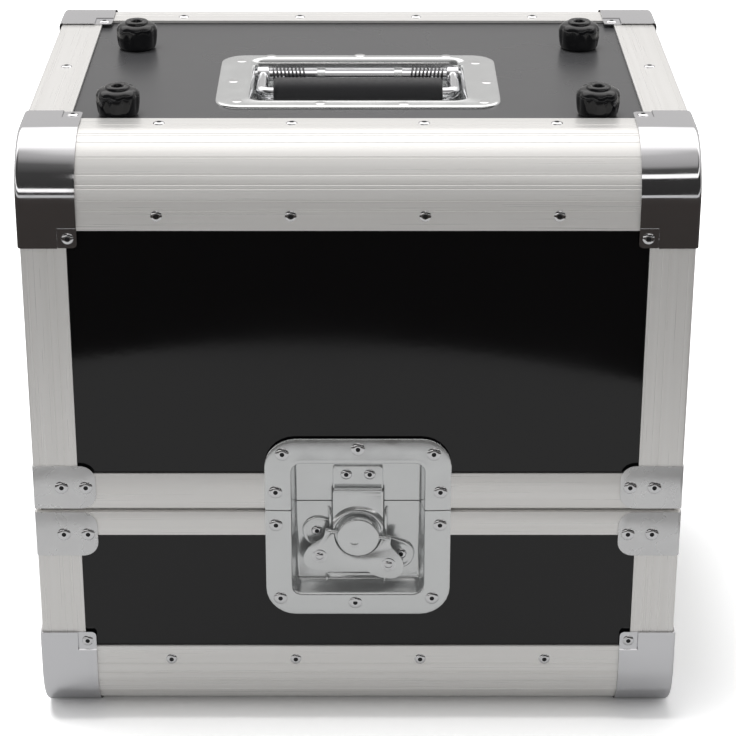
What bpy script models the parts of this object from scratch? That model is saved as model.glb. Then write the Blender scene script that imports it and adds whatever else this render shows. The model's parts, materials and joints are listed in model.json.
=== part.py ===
# Record carrying case with a hinged deep section, a recessed butterfly latch and a recessed handle.
# Metres, +Z up. The latch faces -Y, and the case stands on its shallow lower section.

import math

import bmesh
import bpy
from mathutils import Matrix, Vector

# Overall case, over the outer planes of the aluminium profiles
CASE_WIDTH = 0.3614
CASE_DEPTH = 0.2854
CASE_HEIGHT = 0.3494
SPLIT_HEIGHT = 0.1365
SPLIT_GAP = 0.0025

# Gap left between pieces that touch, and how far a cut runs past what it cuts
SEAT = 0.0003
OVERRUN = 0.004

# Panels and profiles
PANEL = 0.007
SKIN = 0.0016
ROUND_RADIUS = 0.032
ROUND_LEG = 0.0473
ROUND_LIP = 0.010
WEB = 0.0015
ANGLE_LEG = 0.0247
UPPER_STRIP = 0.0212
LOWER_STRIP = 0.0146
RIM_LIP = 0.009

# Tongue and groove of the closure
TONGUE = 0.0025
TONGUE_HEIGHT = 0.0030
GROOVE_SIDE_PLAY = 0.0011
GROOVE_END_PLAY = 0.0010

# Corner covers and brace corners
COVER = 0.0010
COVER_WIDTH = 0.032
COVER_LEG = 0.057
COVER_CLIP = 0.025
BRACE = 0.0010
BRACE_LEG = 0.0345
BRACE_UPPER_HEIGHT = 0.0262
BRACE_LOWER_HEIGHT = 0.0273
BRACE_CORNER = 0.006

# Foam pads glued inside the closed ends
LOWER_PAD = 0.004
UPPER_PAD = 0.006
PAD_PLAY = 0.001

# Feet on the closed end of the deep section, gaps to the edges of the profiles and angles
FOOT_RADIUS = 0.012
FOOT_HEIGHT = 0.0165
FOOT_SIDE_GAP = 0.0130
FOOT_FRONT_GAP = 0.0007
FOOT_BACK_GAP = 0.0391
FOOT_PROFILE_SHARES = (
    (0, 0.50),
    (0.30, 0.50),
    (0.30, 1.0),
    (0.58, 1.0),
    (0.86, 0.90),
    (1.0, 0.78),
    (1.0, 0.20),
    (0.84, 0.12),
    (0.84, 0),
    (0, 0),
)

# Carry handle: its dish from the front plane, and the flange round the tub
HANDLE_TUB_FRONT = 0.080
HANDLE_TUB_LENGTH = 0.0805
HANDLE_TUB_WIDTH = 0.124
HANDLE_TUB_CORNER = 0.009
HANDLE_TUB_DEPTH = 0.0195
HANDLE_BORDER_SIDE = 0.0175
HANDLE_BORDER_FRONT = 0.0107
HANDLE_BORDER_BACK = 0.0075
HANDLE_FLANGE_CORNER = 0.014
PRESSED = 0.0012

# The bail in the tub, with its gaps to the tub's back wall, floor and side walls
ROD_INSET = 0.0085
ROD_RADIUS = 0.003
ROD_PLAY = 0.0004
GRIP_REACH = 0.034
GRIP_RADIUS = 0.009
GRIP_FLOOR_GAP = 0.0025
GRIP_INSET = 0.007
GRIP_EDGE = 0.002
ARM_RADIUS = 0.0035
ARM_INSET = 0.007
ARM_BEND = 0.0055
EYE_RADIUS = 0.0052
EYE_WIDTH = 0.007
CORE_PLAY = 0.0003

# Torsion springs on the handle's rod
SPRING_WIRE_RADIUS = 0.0006
SPRING_PLAY = 0.00035
SPRING_PITCH = 0.0022
SPRING_TURNS = 8
SPRING_POINTS = 8
SPRING_EYE_GAP = 0.0023

# Butterfly latch: reaches measured from the split, and the flange round the tub
LATCH_TUB_WIDTH = 0.075
LATCH_TUB_LOWER_REACH = 0.0530
LATCH_TUB_UPPER_REACH = 0.0293
LATCH_TUB_CORNER = 0.004
LATCH_TUB_DEPTH = 0.012
LATCH_BORDER_SIDE = 0.0145
LATCH_BORDER_LOWER = 0.0135
LATCH_BORDER_UPPER = 0.0148
LATCH_CORNER = 0.017
LATCH_PARTING = 0.0006
MECHANISM_WIDTH = 0.046
MECHANISM_DROP = 0.0288
MECHANISM_PLATE = 0.0008
MECHANISM_CORNER = 0.008
MECHANISM_SPLIT_GAP = 0.0065

# Keeper and draw plate
KEEPER_WIDTH = 0.028
KEEPER_PLATE = 0.0012
KEEPER_TOP_GAP = 0.0016
KEEPER_LOW_REACH = 0.0065
KEEPER_LIP = 0.0010
KEEPER_LIP_HEIGHT = 0.0016
DRAW_WIDTH = 0.0285
DRAW_PLATE = 0.0012
DRAW_TOP_REACH = 0.0120
DRAW_TRAVEL = 0.009
DRAW_TAIL = 0.004
DRAW_CORNER = 0.003
DRAW_PLAY = 0.0004

# Hub and wing, which lie tilted in the photograph
HUB_DROP = 0.0183
HUB_RADIUS = 0.012
HUB_DOME = 0.0014
HUB_THICKNESS = 0.006
HUB_PLAY = 0.0006
HUB_NECK_RADIUS = 0.006
HUB_DIMPLE_RADIUS = 0.0034
HUB_DIMPLE_DEPTH = 0.0012
WING_TILT = math.radians(8)
WING_PLATE = 0.0015
WING_RIVET_SIDE = 0.0197
WING_RIVET_DROP = 0.0140
WING_LOBE_RADIUS = 0.0075
WING_BAR_RISE = 0.0010
WING_HUB_PLAY = 0.0008
WING_EAR_WIDTH = 0.0055
WING_BARREL_RADIUS = 0.0022
AXLE_RADIUS = 0.0010
AXLE_PLAY = 0.0003

# Rear hinges, a gap in from the brace corners
HINGE_GAP = 0.0262
HINGE_WIDTH = 0.050
HINGE_LEAF = 0.0016
HINGE_LEAF_HEIGHT = 0.028
HINGE_BARREL_RADIUS = 0.0036
HINGE_PIN_RADIUS = 0.0016
HINGE_PLAY = 0.0004

ARC_STEPS = 10
CORNER_STEPS = 6
ROUND_SIDES = 32
SMALL_SIDES = 18
SMOOTH_ANGLE = math.radians(32)

# The latch flange stands out in front and the hinge barrels behind, and the origin is midway
LATCH_PROUD = SEAT + PRESSED
HINGE_PROUD = SEAT + 2 * HINGE_BARREL_RADIUS
COVER_PROUD = SEAT + COVER
CENTRE_Y = (LATCH_PROUD - HINGE_PROUD) / 2

HALF_WIDTH = CASE_WIDTH / 2
FRONT = CENTRE_Y - CASE_DEPTH / 2
BACK = CENTRE_Y + CASE_DEPTH / 2
BASE = COVER_PROUD
TOP = BASE + CASE_HEIGHT

PANEL_INSET = SKIN + SEAT
PANEL_INNER = PANEL_INSET + PANEL
SLOT_INNER = PANEL_INNER + SEAT
LOWER_FACE = SPLIT_HEIGHT - SPLIT_GAP / 2
UPPER_FACE = SPLIT_HEIGHT + SPLIT_GAP / 2
RIM_WIDTH = SLOT_INNER + WEB
GROOVE_DEPTH = TONGUE_HEIGHT + GROOVE_END_PLAY
LOWER_WALL_END = LOWER_FACE - GROOVE_DEPTH - SKIN - SEAT
UPPER_WALL_END = UPPER_FACE + SKIN + SEAT
PANEL_TOP = TOP - PANEL_INSET

# Handle heights and places, from the flange on the panel down to the floor, and up to the rod
FLANGE_TOP = PANEL_TOP + SEAT + PRESSED
HANDLE_FLOOR = FLANGE_TOP - HANDLE_TUB_DEPTH
HANDLE_FRONT = FRONT + HANDLE_TUB_FRONT
HANDLE_BACK = HANDLE_FRONT + HANDLE_TUB_LENGTH
ROD_Y = HANDLE_BACK - ROD_INSET
ROD_Z = HANDLE_FLOOR + GRIP_FLOOR_GAP + GRIP_RADIUS
GRIP_Y = ROD_Y - GRIP_REACH
ARM_SIDE = HANDLE_TUB_WIDTH / 2 - ARM_INSET
GRIP_LENGTH = 2 * (ARM_SIDE - GRIP_INSET)

# Latch depths from the front plane, in order from the dish's floor outward
KEEPER_BACK = LATCH_TUB_DEPTH - SEAT
KEEPER_FACE = KEEPER_BACK - KEEPER_PLATE
DRAW_BACK = KEEPER_FACE - KEEPER_LIP - SEAT
DRAW_FACE = DRAW_BACK - DRAW_PLATE
HUB_BACK = DRAW_FACE - HUB_PLAY
HUB_FACE = HUB_BACK - HUB_THICKNESS
WING_AXIS_DEPTH = HUB_BACK - WING_BARREL_RADIUS
HUB_HEIGHT = SPLIT_HEIGHT - HUB_DROP

PLANES = {
    "XY": Matrix.Identity(3),
    "YZ": Matrix(((0, 0, 1), (1, 0, 0), (0, 1, 0))),
    "XZ": Matrix(((1, 0, 0), (0, 0, -1), (0, 1, 0))),
}
NORMALS = {
    "XY": Vector((0, 0, 1)),
    "YZ": Vector((1, 0, 0)),
    "XZ": Vector((0, 1, 0)),
}


def clear_scene():
    for old in list(bpy.data.objects):
        bpy.data.objects.remove(old, do_unlink=True)


def new_collection(name):
    made = bpy.data.collections.new(name)
    bpy.context.scene.collection.children.link(made)
    return made


clear_scene()
PARTS = new_collection("record_carrying_case")
CUTTERS = new_collection("cutters")


def material(name, colour, roughness, metallic=0.0):
    made = bpy.data.materials.new(name)
    made.use_nodes = True
    shader = made.node_tree.nodes["Principled BSDF"]
    shader.inputs["Base Color"].default_value = (*colour, 1)
    shader.inputs["Roughness"].default_value = roughness
    shader.inputs["Metallic"].default_value = metallic
    return made


ALUMINIUM = material("satin_aluminium", (0.80, 0.79, 0.77), 0.35, 1.0)
CHROME = material("bright_chrome", (0.86, 0.86, 0.87), 0.08, 1.0)
ZINC = material("zinc_plate", (0.74, 0.74, 0.76), 0.22, 1.0)
LAMINATE = material("black_laminate", (0.012, 0.012, 0.014), 0.22)
RUBBER = material("black_rubber", (0.02, 0.02, 0.02), 0.6)
FOAM = material("grey_foam", (0.10, 0.10, 0.11), 0.9)


def pivot(name, place, carrier=None):
    """An empty that carries the pieces of one moving body, standing on that body's joint."""
    made = bpy.data.objects.new(name, None)
    PARTS.objects.link(made)
    made.empty_display_size = HUB_RADIUS
    made.location = place
    bpy.context.view_layer.update()
    if carrier:
        made.parent = carrier
        made.matrix_parent_inverse = carrier.matrix_world.inverted()
        bpy.context.view_layer.update()
    return made


def finish(name, mesh, surface, carrier):
    """Puts a finished mesh on the case, or among the cutters when no body carries it."""
    mesh.name = name
    mesh.shade_smooth()
    mesh.set_sharp_from_angle(angle=SMOOTH_ANGLE)
    made = bpy.data.objects.new(name, mesh)
    if carrier:
        made.data.materials.append(surface)
        PARTS.objects.link(made)
        made.parent = carrier
        made.matrix_parent_inverse = carrier.matrix_world.inverted()
    else:
        CUTTERS.objects.link(made)
        made.hide_render = True
        made.display_type = "WIRE"
    return made


def box(name, low, high, surface=None, carrier=None):
    shape = bmesh.new()
    bmesh.ops.create_cube(shape, size=1)
    size = Vector(high) - Vector(low)
    bmesh.ops.scale(shape, vec=size, verts=shape.verts)
    bmesh.ops.translate(shape, vec=Vector(low) + size / 2, verts=shape.verts)
    mesh = bpy.data.meshes.new(name)
    shape.to_mesh(mesh)
    shape.free()
    return finish(name, mesh, surface, carrier)


def rod(name, centre, direction, radius, length, surface=None, carrier=None, sides=ROUND_SIDES):
    """A round bar, turned by half a side so that none of its edges lies in a plate's plane."""
    shape = bmesh.new()
    bmesh.ops.create_cone(
        shape, cap_ends=True, segments=sides, radius1=radius, radius2=radius, depth=length
    )
    turn = Vector((0, 0, 1)).rotation_difference(Vector(direction)).to_matrix().to_4x4()
    half_side = Matrix.Rotation(math.pi / sides, 4, "Z")
    place = Matrix.Translation(centre) @ turn @ half_side
    bmesh.ops.transform(shape, matrix=place, verts=shape.verts)
    mesh = bpy.data.meshes.new(name)
    shape.to_mesh(mesh)
    shape.free()
    return finish(name, mesh, surface, carrier)


def mesh_of_curve(name, curve, place=None):
    """The evaluated mesh of a curve, with its caps welded on and its place in the mesh."""
    drawn = bpy.data.objects.new(name, curve)
    CUTTERS.objects.link(drawn)
    bpy.context.view_layer.update()
    evaluated = drawn.evaluated_get(bpy.context.evaluated_depsgraph_get())
    mesh = bpy.data.meshes.new_from_object(evaluated)
    shape = bmesh.new()
    shape.from_mesh(mesh)
    bmesh.ops.remove_doubles(shape, verts=shape.verts, dist=SEAT / 100)
    if place:
        bmesh.ops.transform(shape, matrix=place, verts=shape.verts)
    bmesh.ops.recalc_face_normals(shape, faces=shape.faces)
    shape.to_mesh(mesh)
    shape.free()
    bpy.data.objects.remove(drawn, do_unlink=True)
    return mesh


def slab(name, outline, plane, start, end, surface=None, carrier=None):
    """A flat outline in one of the three planes, made solid from start to end across it."""
    curve = bpy.data.curves.new(name, "CURVE")
    curve.dimensions = "2D"
    curve.fill_mode = "BOTH"
    curve.extrude = abs(end - start) / 2
    spline = curve.splines.new("POLY")
    spline.points.add(len(outline) - 1)
    for point, (across, up) in zip(spline.points, outline):
        point.co = (across, up, 0, 1)
    spline.use_cyclic_u = True
    middle = NORMALS[plane] * (start + end) / 2
    place = Matrix.Translation(middle) @ PLANES[plane].to_4x4()
    return finish(name, mesh_of_curve(name, curve, place), surface, carrier)


def tube(name, points, radius, resolution, surface=None, carrier=None):
    curve = bpy.data.curves.new(name, "CURVE")
    curve.dimensions = "3D"
    curve.bevel_depth = radius
    curve.bevel_resolution = resolution
    curve.use_fill_caps = True
    spline = curve.splines.new("POLY")
    spline.points.add(len(points) - 1)
    for point, place in zip(spline.points, points):
        point.co = (*place, 1)
    return finish(name, mesh_of_curve(name, curve), surface, carrier)


def boolean(target, others, operation):
    for other in others:
        modifier = target.modifiers.new(other.name, "BOOLEAN")
        modifier.operation = operation
        modifier.object = other
    return target


def joined(target, *others):
    return boolean(target, others, "UNION")


def cut(target, *others):
    return boolean(target, others, "DIFFERENCE")


def arc(centre, radius, start, end, steps=ARC_STEPS):
    """Points on an arc from start to end, in degrees, both ends included."""
    angles = [math.radians(start + (end - start) * step / steps) for step in range(steps + 1)]
    return [
        (centre[0] + radius * math.cos(angle), centre[1] + radius * math.sin(angle))
        for angle in angles
    ]


def rounded(low, high, radii):
    """A rectangle whose corners are rounded, radii given from the low corner anticlockwise."""
    (left, bottom), (right, top) = low, high
    corners = (
        (left, bottom, 1, 1, 180),
        (right, bottom, -1, 1, 270),
        (right, top, -1, -1, 0),
        (left, top, 1, -1, 90),
    )
    points = []
    for (across, up, inward, upward, start), radius in zip(corners, radii):
        if radius:
            centre = (across + inward * radius, up + upward * radius)
            points += arc(centre, radius, start, start + 90, CORNER_STEPS)
        else:
            points.append((across, up))
    return points


# A case edge is drawn with distances inward from its two outer planes, then put at its place


def edge_place(side, end):
    """Turns distances inward from the front or back and the bottom or top into Y and Z."""
    plane_y, inward = (FRONT, 1) if side == "front" else (BACK, -1)
    plane_z, upward = (BASE, 1) if end == "bottom" else (TOP, -1)
    return lambda points: [(plane_y + inward * a, plane_z + upward * b) for a, b in points]


def round_profile(name, side, end, carrier):
    """A rounded edge profile: a bent skin with two legs, and inside it a seat for each panel."""
    at = edge_place(side, end)
    centre = (ROUND_RADIUS, ROUND_RADIUS)
    outer = arc(centre, ROUND_RADIUS, 180, 270)
    inner = arc(centre, ROUND_RADIUS - SKIN, 270, 180)
    skin = [(0, ROUND_LEG), *outer, (ROUND_LEG, 0), (ROUND_LEG, SKIN), *inner, (SKIN, ROUND_LEG)]
    made = slab(name, at(skin), "YZ", -HALF_WIDTH, HALF_WIDTH, ALUMINIUM, carrier)
    web_start = ROUND_RADIUS - SEAT - WEB
    seat = [
        (web_start, SKIN / 2),
        (web_start + WEB, SKIN / 2),
        (web_start + WEB, SLOT_INNER),
        (ROUND_RADIUS + ROUND_LIP, SLOT_INNER),
        (ROUND_RADIUS + ROUND_LIP, SLOT_INNER + WEB),
        (web_start, SLOT_INNER + WEB),
    ]
    half_seat = HALF_WIDTH - SLOT_INNER
    flat = slab(name + "_panel_seat", at(seat), "YZ", -half_seat, half_seat)
    upright = slab(
        name + "_wall_seat", at([(b, a) for a, b in seat]), "YZ", -half_seat, half_seat
    )
    return joined(made, flat, upright)


def angle_legs():
    """The two legs of an angle, as distances inward from its outer planes."""
    return [
        (0, 0),
        (ANGLE_LEG, 0),
        (ANGLE_LEG, SKIN),
        (SKIN, SKIN),
        (SKIN, ANGLE_LEG),
        (0, ANGLE_LEG),
    ]


def edge_angle(name, sign, end, carrier):
    """An angle over a left or right edge of a closed end, running front to back."""
    plane_z, upward = (BASE, 1) if end == "bottom" else (TOP, -1)
    outline = [(sign * (HALF_WIDTH - a), plane_z + upward * b) for a, b in angle_legs()]
    reach = ROUND_LEG + SEAT
    return slab(name, outline, "XZ", FRONT + reach, BACK - reach, ALUMINIUM, carrier)


def upright_angle(name, sign, side, low, high, carrier):
    plane_y, inward = (FRONT, 1) if side == "front" else (BACK, -1)
    outline = [(sign * (HALF_WIDTH - a), plane_y + inward * b) for a, b in angle_legs()]
    return slab(name, outline, "XY", low, high, ALUMINIUM, carrier)


def wall_frame(name, end, rim, carrier):
    """Four walls glued as a frame. The side walls reach the closed end and follow its curve."""
    plane_z, upward = (BASE, 1) if end == "bottom" else (TOP, -1)
    radius = ROUND_RADIUS - PANEL_INSET
    near, far = FRONT + PANEL_INSET, BACK - PANEL_INSET
    closed = plane_z + upward * PANEL_INSET
    low, high = sorted((closed, rim))
    radii = (radius, radius, 0, 0) if end == "bottom" else (0, 0, radius, radius)
    outer = HALF_WIDTH - PANEL_INSET
    made = slab(name, rounded((near, low), (far, high), radii), "YZ", -outer, outer, LAMINATE, carrier)
    inner = HALF_WIDTH - PANEL_INNER
    hollow = box(
        name + "_hollow",
        (-inner, near + PANEL, low - OVERRUN),
        (inner, far - PANEL, high + OVERRUN),
    )
    wall_start = plane_z + upward * ROUND_RADIUS
    trim_low, trim_high = sorted((wall_start, closed - upward * OVERRUN))
    trim = box(
        name + "_trim",
        (-inner, near - OVERRUN, trim_low),
        (inner, far + OVERRUN, trim_high),
    )
    return cut(made, hollow, trim)


def rim_frame(name, outline, carrier):
    """A mitred frame: its section spun a full turn in four steps, then stretched to the case."""
    shape = bmesh.new()
    half_depth = CASE_DEPTH / 2
    corners = [shape.verts.new((half_depth - a, half_depth - a, height)) for a, height in outline]
    for first, second in zip(corners, corners[1:] + corners[:1]):
        shape.edges.new((first, second))
    bmesh.ops.spin(
        shape,
        geom=list(shape.verts) + list(shape.edges),
        cent=(0, 0, 0),
        axis=(0, 0, 1),
        angle=math.tau,
        steps=4,
        use_merge=True,
    )
    bmesh.ops.remove_doubles(shape, verts=shape.verts, dist=SEAT / 10)
    for sign in (-1, 1):
        moved = [vert for vert in shape.verts if vert.co.x * sign > 0]
        bmesh.ops.translate(shape, vec=(sign * (HALF_WIDTH - half_depth), 0, 0), verts=moved)
    bmesh.ops.translate(shape, vec=(0, CENTRE_Y, 0), verts=shape.verts)
    bmesh.ops.recalc_face_normals(shape, faces=shape.faces)
    mesh = bpy.data.meshes.new(name)
    shape.to_mesh(mesh)
    shape.free()
    return finish(name, mesh, ALUMINIUM, carrier)


def lower_rim(carrier):
    """The closure frame of the lower section, with the groove."""
    middle = RIM_WIDTH / 2
    half_groove = TONGUE / 2 + GROOVE_SIDE_PLAY
    floor = LOWER_FACE - GROOVE_DEPTH
    under = floor - SKIN
    outline = [
        (0, LOWER_FACE - LOWER_STRIP),
        (0, LOWER_FACE),
        (middle - half_groove, LOWER_FACE),
        (middle - half_groove, floor),
        (middle + half_groove, floor),
        (middle + half_groove, LOWER_FACE),
        (RIM_WIDTH, LOWER_FACE),
        (RIM_WIDTH, under - RIM_LIP),
        (RIM_WIDTH - WEB, under - RIM_LIP),
        (RIM_WIDTH - WEB, under),
        (SKIN, under),
        (SKIN, LOWER_FACE - LOWER_STRIP),
    ]
    return rim_frame("lower_closure_rim", outline, carrier)


def upper_rim(carrier):
    """The closure frame of the upper section, with the tongue."""
    middle = RIM_WIDTH / 2
    tip = LOWER_FACE - TONGUE_HEIGHT
    over = UPPER_FACE + SKIN
    outline = [
        (0, UPPER_FACE + UPPER_STRIP),
        (0, UPPER_FACE),
        (middle - TONGUE / 2, UPPER_FACE),
        (middle - TONGUE / 2, tip),
        (middle + TONGUE / 2, tip),
        (middle + TONGUE / 2, UPPER_FACE),
        (RIM_WIDTH, UPPER_FACE),
        (RIM_WIDTH, over + RIM_LIP),
        (RIM_WIDTH - WEB, over + RIM_LIP),
        (RIM_WIDTH - WEB, over),
        (SKIN, over),
        (SKIN, UPPER_FACE + UPPER_STRIP),
    ]
    return rim_frame("upper_closure_rim", outline, carrier)


def corner_cover(name, sign, side, end, carrier):
    """A pressed cover over the end of a rounded edge: a solid corner, hollowed from inside."""
    at = edge_place(side, end)
    centre = (ROUND_RADIUS, ROUND_RADIUS)
    proud = -COVER_PROUD
    outer = [
        (proud, COVER_LEG),
        *arc(centre, ROUND_RADIUS + COVER_PROUD, 180, 270),
        (COVER_LEG, proud),
        (COVER_LEG, COVER_LEG - COVER_CLIP),
        (COVER_LEG - COVER_CLIP, COVER_LEG),
    ]
    beyond = COVER_LEG + OVERRUN
    inner = [
        (-SEAT, beyond),
        *arc(centre, ROUND_RADIUS + SEAT, 180, 270),
        (beyond, -SEAT),
        (beyond, beyond),
    ]
    outside = HALF_WIDTH + COVER_PROUD
    inside = outside - COVER_WIDTH
    made = slab(name, at(outer), "YZ", sign * inside, sign * outside, CHROME, carrier)
    seat = HALF_WIDTH + SEAT
    hollow = slab(name + "_hollow", at(inner), "YZ", sign * (inside - OVERRUN), sign * seat)
    return cut(made, hollow)


def brace_corner(name, sign, side, low, high, carrier):
    """A bent plate over an upright edge beside the split, with rounded ends."""
    plane_y, inward = (FRONT, 1) if side == "front" else (BACK, -1)
    face_x = HALF_WIDTH + SEAT
    face_y = plane_y - inward * SEAT
    round_off = BRACE_CORNER
    side_x = sorted((sign * (face_x + BRACE), sign * (HALF_WIDTH - BRACE_LEG)))
    inner_first = sign > 0
    radii = (round_off, 0, 0, round_off) if inner_first else (0, round_off, round_off, 0)
    front = slab(
        name,
        rounded((side_x[0], low), (side_x[1], high), radii),
        "XZ",
        face_y,
        face_y - inward * BRACE,
        ALUMINIUM,
        carrier,
    )
    side_y = sorted((face_y - inward * BRACE, plane_y + inward * BRACE_LEG))
    inner_first = inward < 0
    radii = (round_off, 0, 0, round_off) if inner_first else (0, round_off, round_off, 0)
    wrap = slab(
        name + "_side",
        rounded((side_y[0], low), (side_y[1], high), radii),
        "YZ",
        sign * face_x,
        sign * (face_x + BRACE),
    )
    return joined(front, wrap)


def foot(name, sign, side, carrier):
    """A turned rubber foot with a screw well in its top, seated on the closed end's panel."""
    side_x = HALF_WIDTH - ANGLE_LEG - FOOT_SIDE_GAP - FOOT_RADIUS
    if side == "front":
        place_y = FRONT + ROUND_LEG + FOOT_FRONT_GAP + FOOT_RADIUS
    else:
        place_y = BACK - ROUND_LEG - FOOT_BACK_GAP - FOOT_RADIUS
    shape = bmesh.new()
    profile = [
        shape.verts.new((radius * FOOT_RADIUS, 0, height * FOOT_HEIGHT))
        for radius, height in FOOT_PROFILE_SHARES
    ]
    for first, second in zip(profile, profile[1:]):
        shape.edges.new((first, second))
    mesh = bpy.data.meshes.new(name)
    shape.to_mesh(mesh)
    shape.free()
    made = finish(name, mesh, RUBBER, carrier)
    made.location = (sign * side_x, place_y, PANEL_TOP + SEAT)
    turned = made.modifiers.new("turned", "SCREW")
    turned.axis = "Z"
    turned.steps = ROUND_SIDES
    turned.render_steps = ROUND_SIDES
    turned.use_merge_vertices = True
    turned.merge_threshold = SEAT / 10
    return made


def section(prefix, end, rim_end, upright_low, upright_high, carrier):
    """The panels, profiles and covers that the two sections have alike."""
    plane_z, upward = (BASE, 1) if end == "bottom" else (TOP, -1)
    inner = HALF_WIDTH - SLOT_INNER
    panel_z = sorted((plane_z + upward * PANEL_INSET, plane_z + upward * PANEL_INNER))
    panel = box(
        f"{prefix}_{end}_panel",
        (-inner, FRONT + ROUND_RADIUS, panel_z[0]),
        (inner, BACK - ROUND_RADIUS, panel_z[1]),
        LAMINATE,
        carrier,
    )
    walls = wall_frame(f"{prefix}_wall_frame", end, rim_end, carrier)
    for side in ("front", "back"):
        round_profile(f"{prefix}_{side}_round_profile", side, end, carrier)
    for sign, hand in ((-1, "left"), (1, "right")):
        edge_angle(f"{prefix}_{hand}_edge_angle", sign, end, carrier)
        for side in ("front", "back"):
            place = f"{side}_{hand}"
            upright_angle(
                f"{prefix}_{place}_upright", sign, side, upright_low, upright_high, carrier
            )
            corner_cover(f"{prefix}_{place}_corner_cover", sign, side, end, carrier)
            if end == "bottom":
                low, high = LOWER_FACE - BRACE_LOWER_HEIGHT, LOWER_FACE
            else:
                low, high = UPPER_FACE, UPPER_FACE + BRACE_UPPER_HEIGHT
            brace_corner(f"{prefix}_{place}_brace_corner", sign, side, low, high, carrier)
    return panel, walls


def latch_hole():
    """The opening that the latch needs in the front walls and the closure rims."""
    half = LATCH_TUB_WIDTH / 2 + PRESSED + SEAT
    return box(
        "latch_hole",
        (-half, FRONT - OVERRUN, SPLIT_HEIGHT - LATCH_TUB_LOWER_REACH - PRESSED - SEAT),
        (
            half,
            FRONT + LATCH_TUB_DEPTH + PRESSED + OVERRUN,
            SPLIT_HEIGHT + LATCH_TUB_UPPER_REACH + PRESSED + SEAT,
        ),
    )


def latch_dish(name, end, carrier):
    """Half of the pressed latch dish: a flange on the case and a tub let into it."""
    if end == "lower":
        direction, tub_reach, border = -1, LATCH_TUB_LOWER_REACH, LATCH_BORDER_LOWER
    else:
        direction, tub_reach, border = 1, LATCH_TUB_UPPER_REACH, LATCH_BORDER_UPPER
    start = SPLIT_HEIGHT + direction * LATCH_PARTING / 2
    tub_half = LATCH_TUB_WIDTH / 2
    tub_end = SPLIT_HEIGHT + direction * tub_reach
    half = tub_half + LATCH_BORDER_SIDE
    low, high = sorted((start, tub_end + direction * border))
    corner = LATCH_CORNER
    radii = (corner, corner, 0, 0) if end == "lower" else (0, 0, corner, corner)
    face = FRONT - LATCH_PROUD
    made = slab(
        name, rounded((-half, low), (half, high), radii), "XZ", face, FRONT - SEAT, ZINC, carrier
    )
    corner = LATCH_TUB_CORNER + PRESSED
    radii = (corner, corner, 0, 0) if end == "lower" else (0, 0, corner, corner)
    low, high = sorted((start, tub_end + direction * PRESSED))
    tub = slab(
        name + "_tub",
        rounded((-tub_half - PRESSED, low), (tub_half + PRESSED, high), radii),
        "XZ",
        face + PRESSED / 2,
        FRONT + LATCH_TUB_DEPTH + PRESSED,
    )
    corner = LATCH_TUB_CORNER
    radii = (corner, corner, 0, 0) if end == "lower" else (0, 0, corner, corner)
    low, high = sorted((start - direction * OVERRUN, tub_end))
    pocket = slab(
        name + "_pocket",
        rounded((-tub_half, low), (tub_half, high), radii),
        "XZ",
        face - OVERRUN,
        FRONT + LATCH_TUB_DEPTH,
    )
    return cut(joined(made, tub), pocket)


def mechanism_plate():
    """The base plate of the turning mechanism, spot welded to the lower dish's floor."""
    half = MECHANISM_WIDTH / 2
    corner = MECHANISM_CORNER
    low = (-half, HUB_HEIGHT - MECHANISM_DROP)
    high = (half, SPLIT_HEIGHT - MECHANISM_SPLIT_GAP)
    return slab(
        "mechanism_plate",
        rounded(low, high, (corner, corner, 0, 0)),
        "XZ",
        FRONT + LATCH_TUB_DEPTH - MECHANISM_PLATE,
        FRONT + LATCH_TUB_DEPTH + PRESSED / 2,
    )


def keeper(carrier):
    """The plate on the upper dish that the draw plate holds down."""
    half = KEEPER_WIDTH / 2
    low = SPLIT_HEIGHT + KEEPER_LOW_REACH
    high = SPLIT_HEIGHT + LATCH_TUB_UPPER_REACH - KEEPER_TOP_GAP
    corner = DRAW_CORNER
    made = slab(
        "latch_keeper",
        rounded((-half, low), (half, high), (0, 0, corner, corner)),
        "XZ",
        FRONT + KEEPER_FACE,
        FRONT + KEEPER_BACK,
        ZINC,
        carrier,
    )
    lip = box(
        "keeper_lip",
        (-half, FRONT + KEEPER_FACE - KEEPER_LIP, low),
        (half, FRONT + KEEPER_BACK - KEEPER_PLATE / 2, low + KEEPER_LIP_HEIGHT),
    )
    return joined(made, lip)


def draw_plate(carrier):
    """The plate that the hub lifts and pulls down, slotted for its travel round the hub's neck."""
    half = DRAW_WIDTH / 2
    slot_radius = HUB_NECK_RADIUS + DRAW_PLAY
    low = HUB_HEIGHT - DRAW_TRAVEL - slot_radius - DRAW_TAIL
    high = SPLIT_HEIGHT + DRAW_TOP_REACH
    near, far = FRONT + DRAW_FACE, FRONT + DRAW_BACK
    corner = DRAW_CORNER
    made = slab(
        "latch_draw_plate",
        rounded((-half, low), (half, high), (slot_radius, slot_radius, corner, corner)),
        "XZ",
        near,
        far,
        ZINC,
        carrier,
    )
    top = arc((0, HUB_HEIGHT), slot_radius, 0, 180)
    bottom = arc((0, HUB_HEIGHT - DRAW_TRAVEL), slot_radius, 180, 360)
    slot = slab("draw_slot", top + bottom, "XZ", near - OVERRUN, far + OVERRUN)
    return cut(made, slot)


def tilt(*pieces):
    """Turns pieces drawn round the hub's centre to the tilt that the latch rests at."""
    place = Matrix.Translation((0, FRONT, HUB_HEIGHT)) @ Matrix.Rotation(WING_TILT, 4, "Y")
    for piece in pieces:
        piece.data.transform(place)


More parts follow.
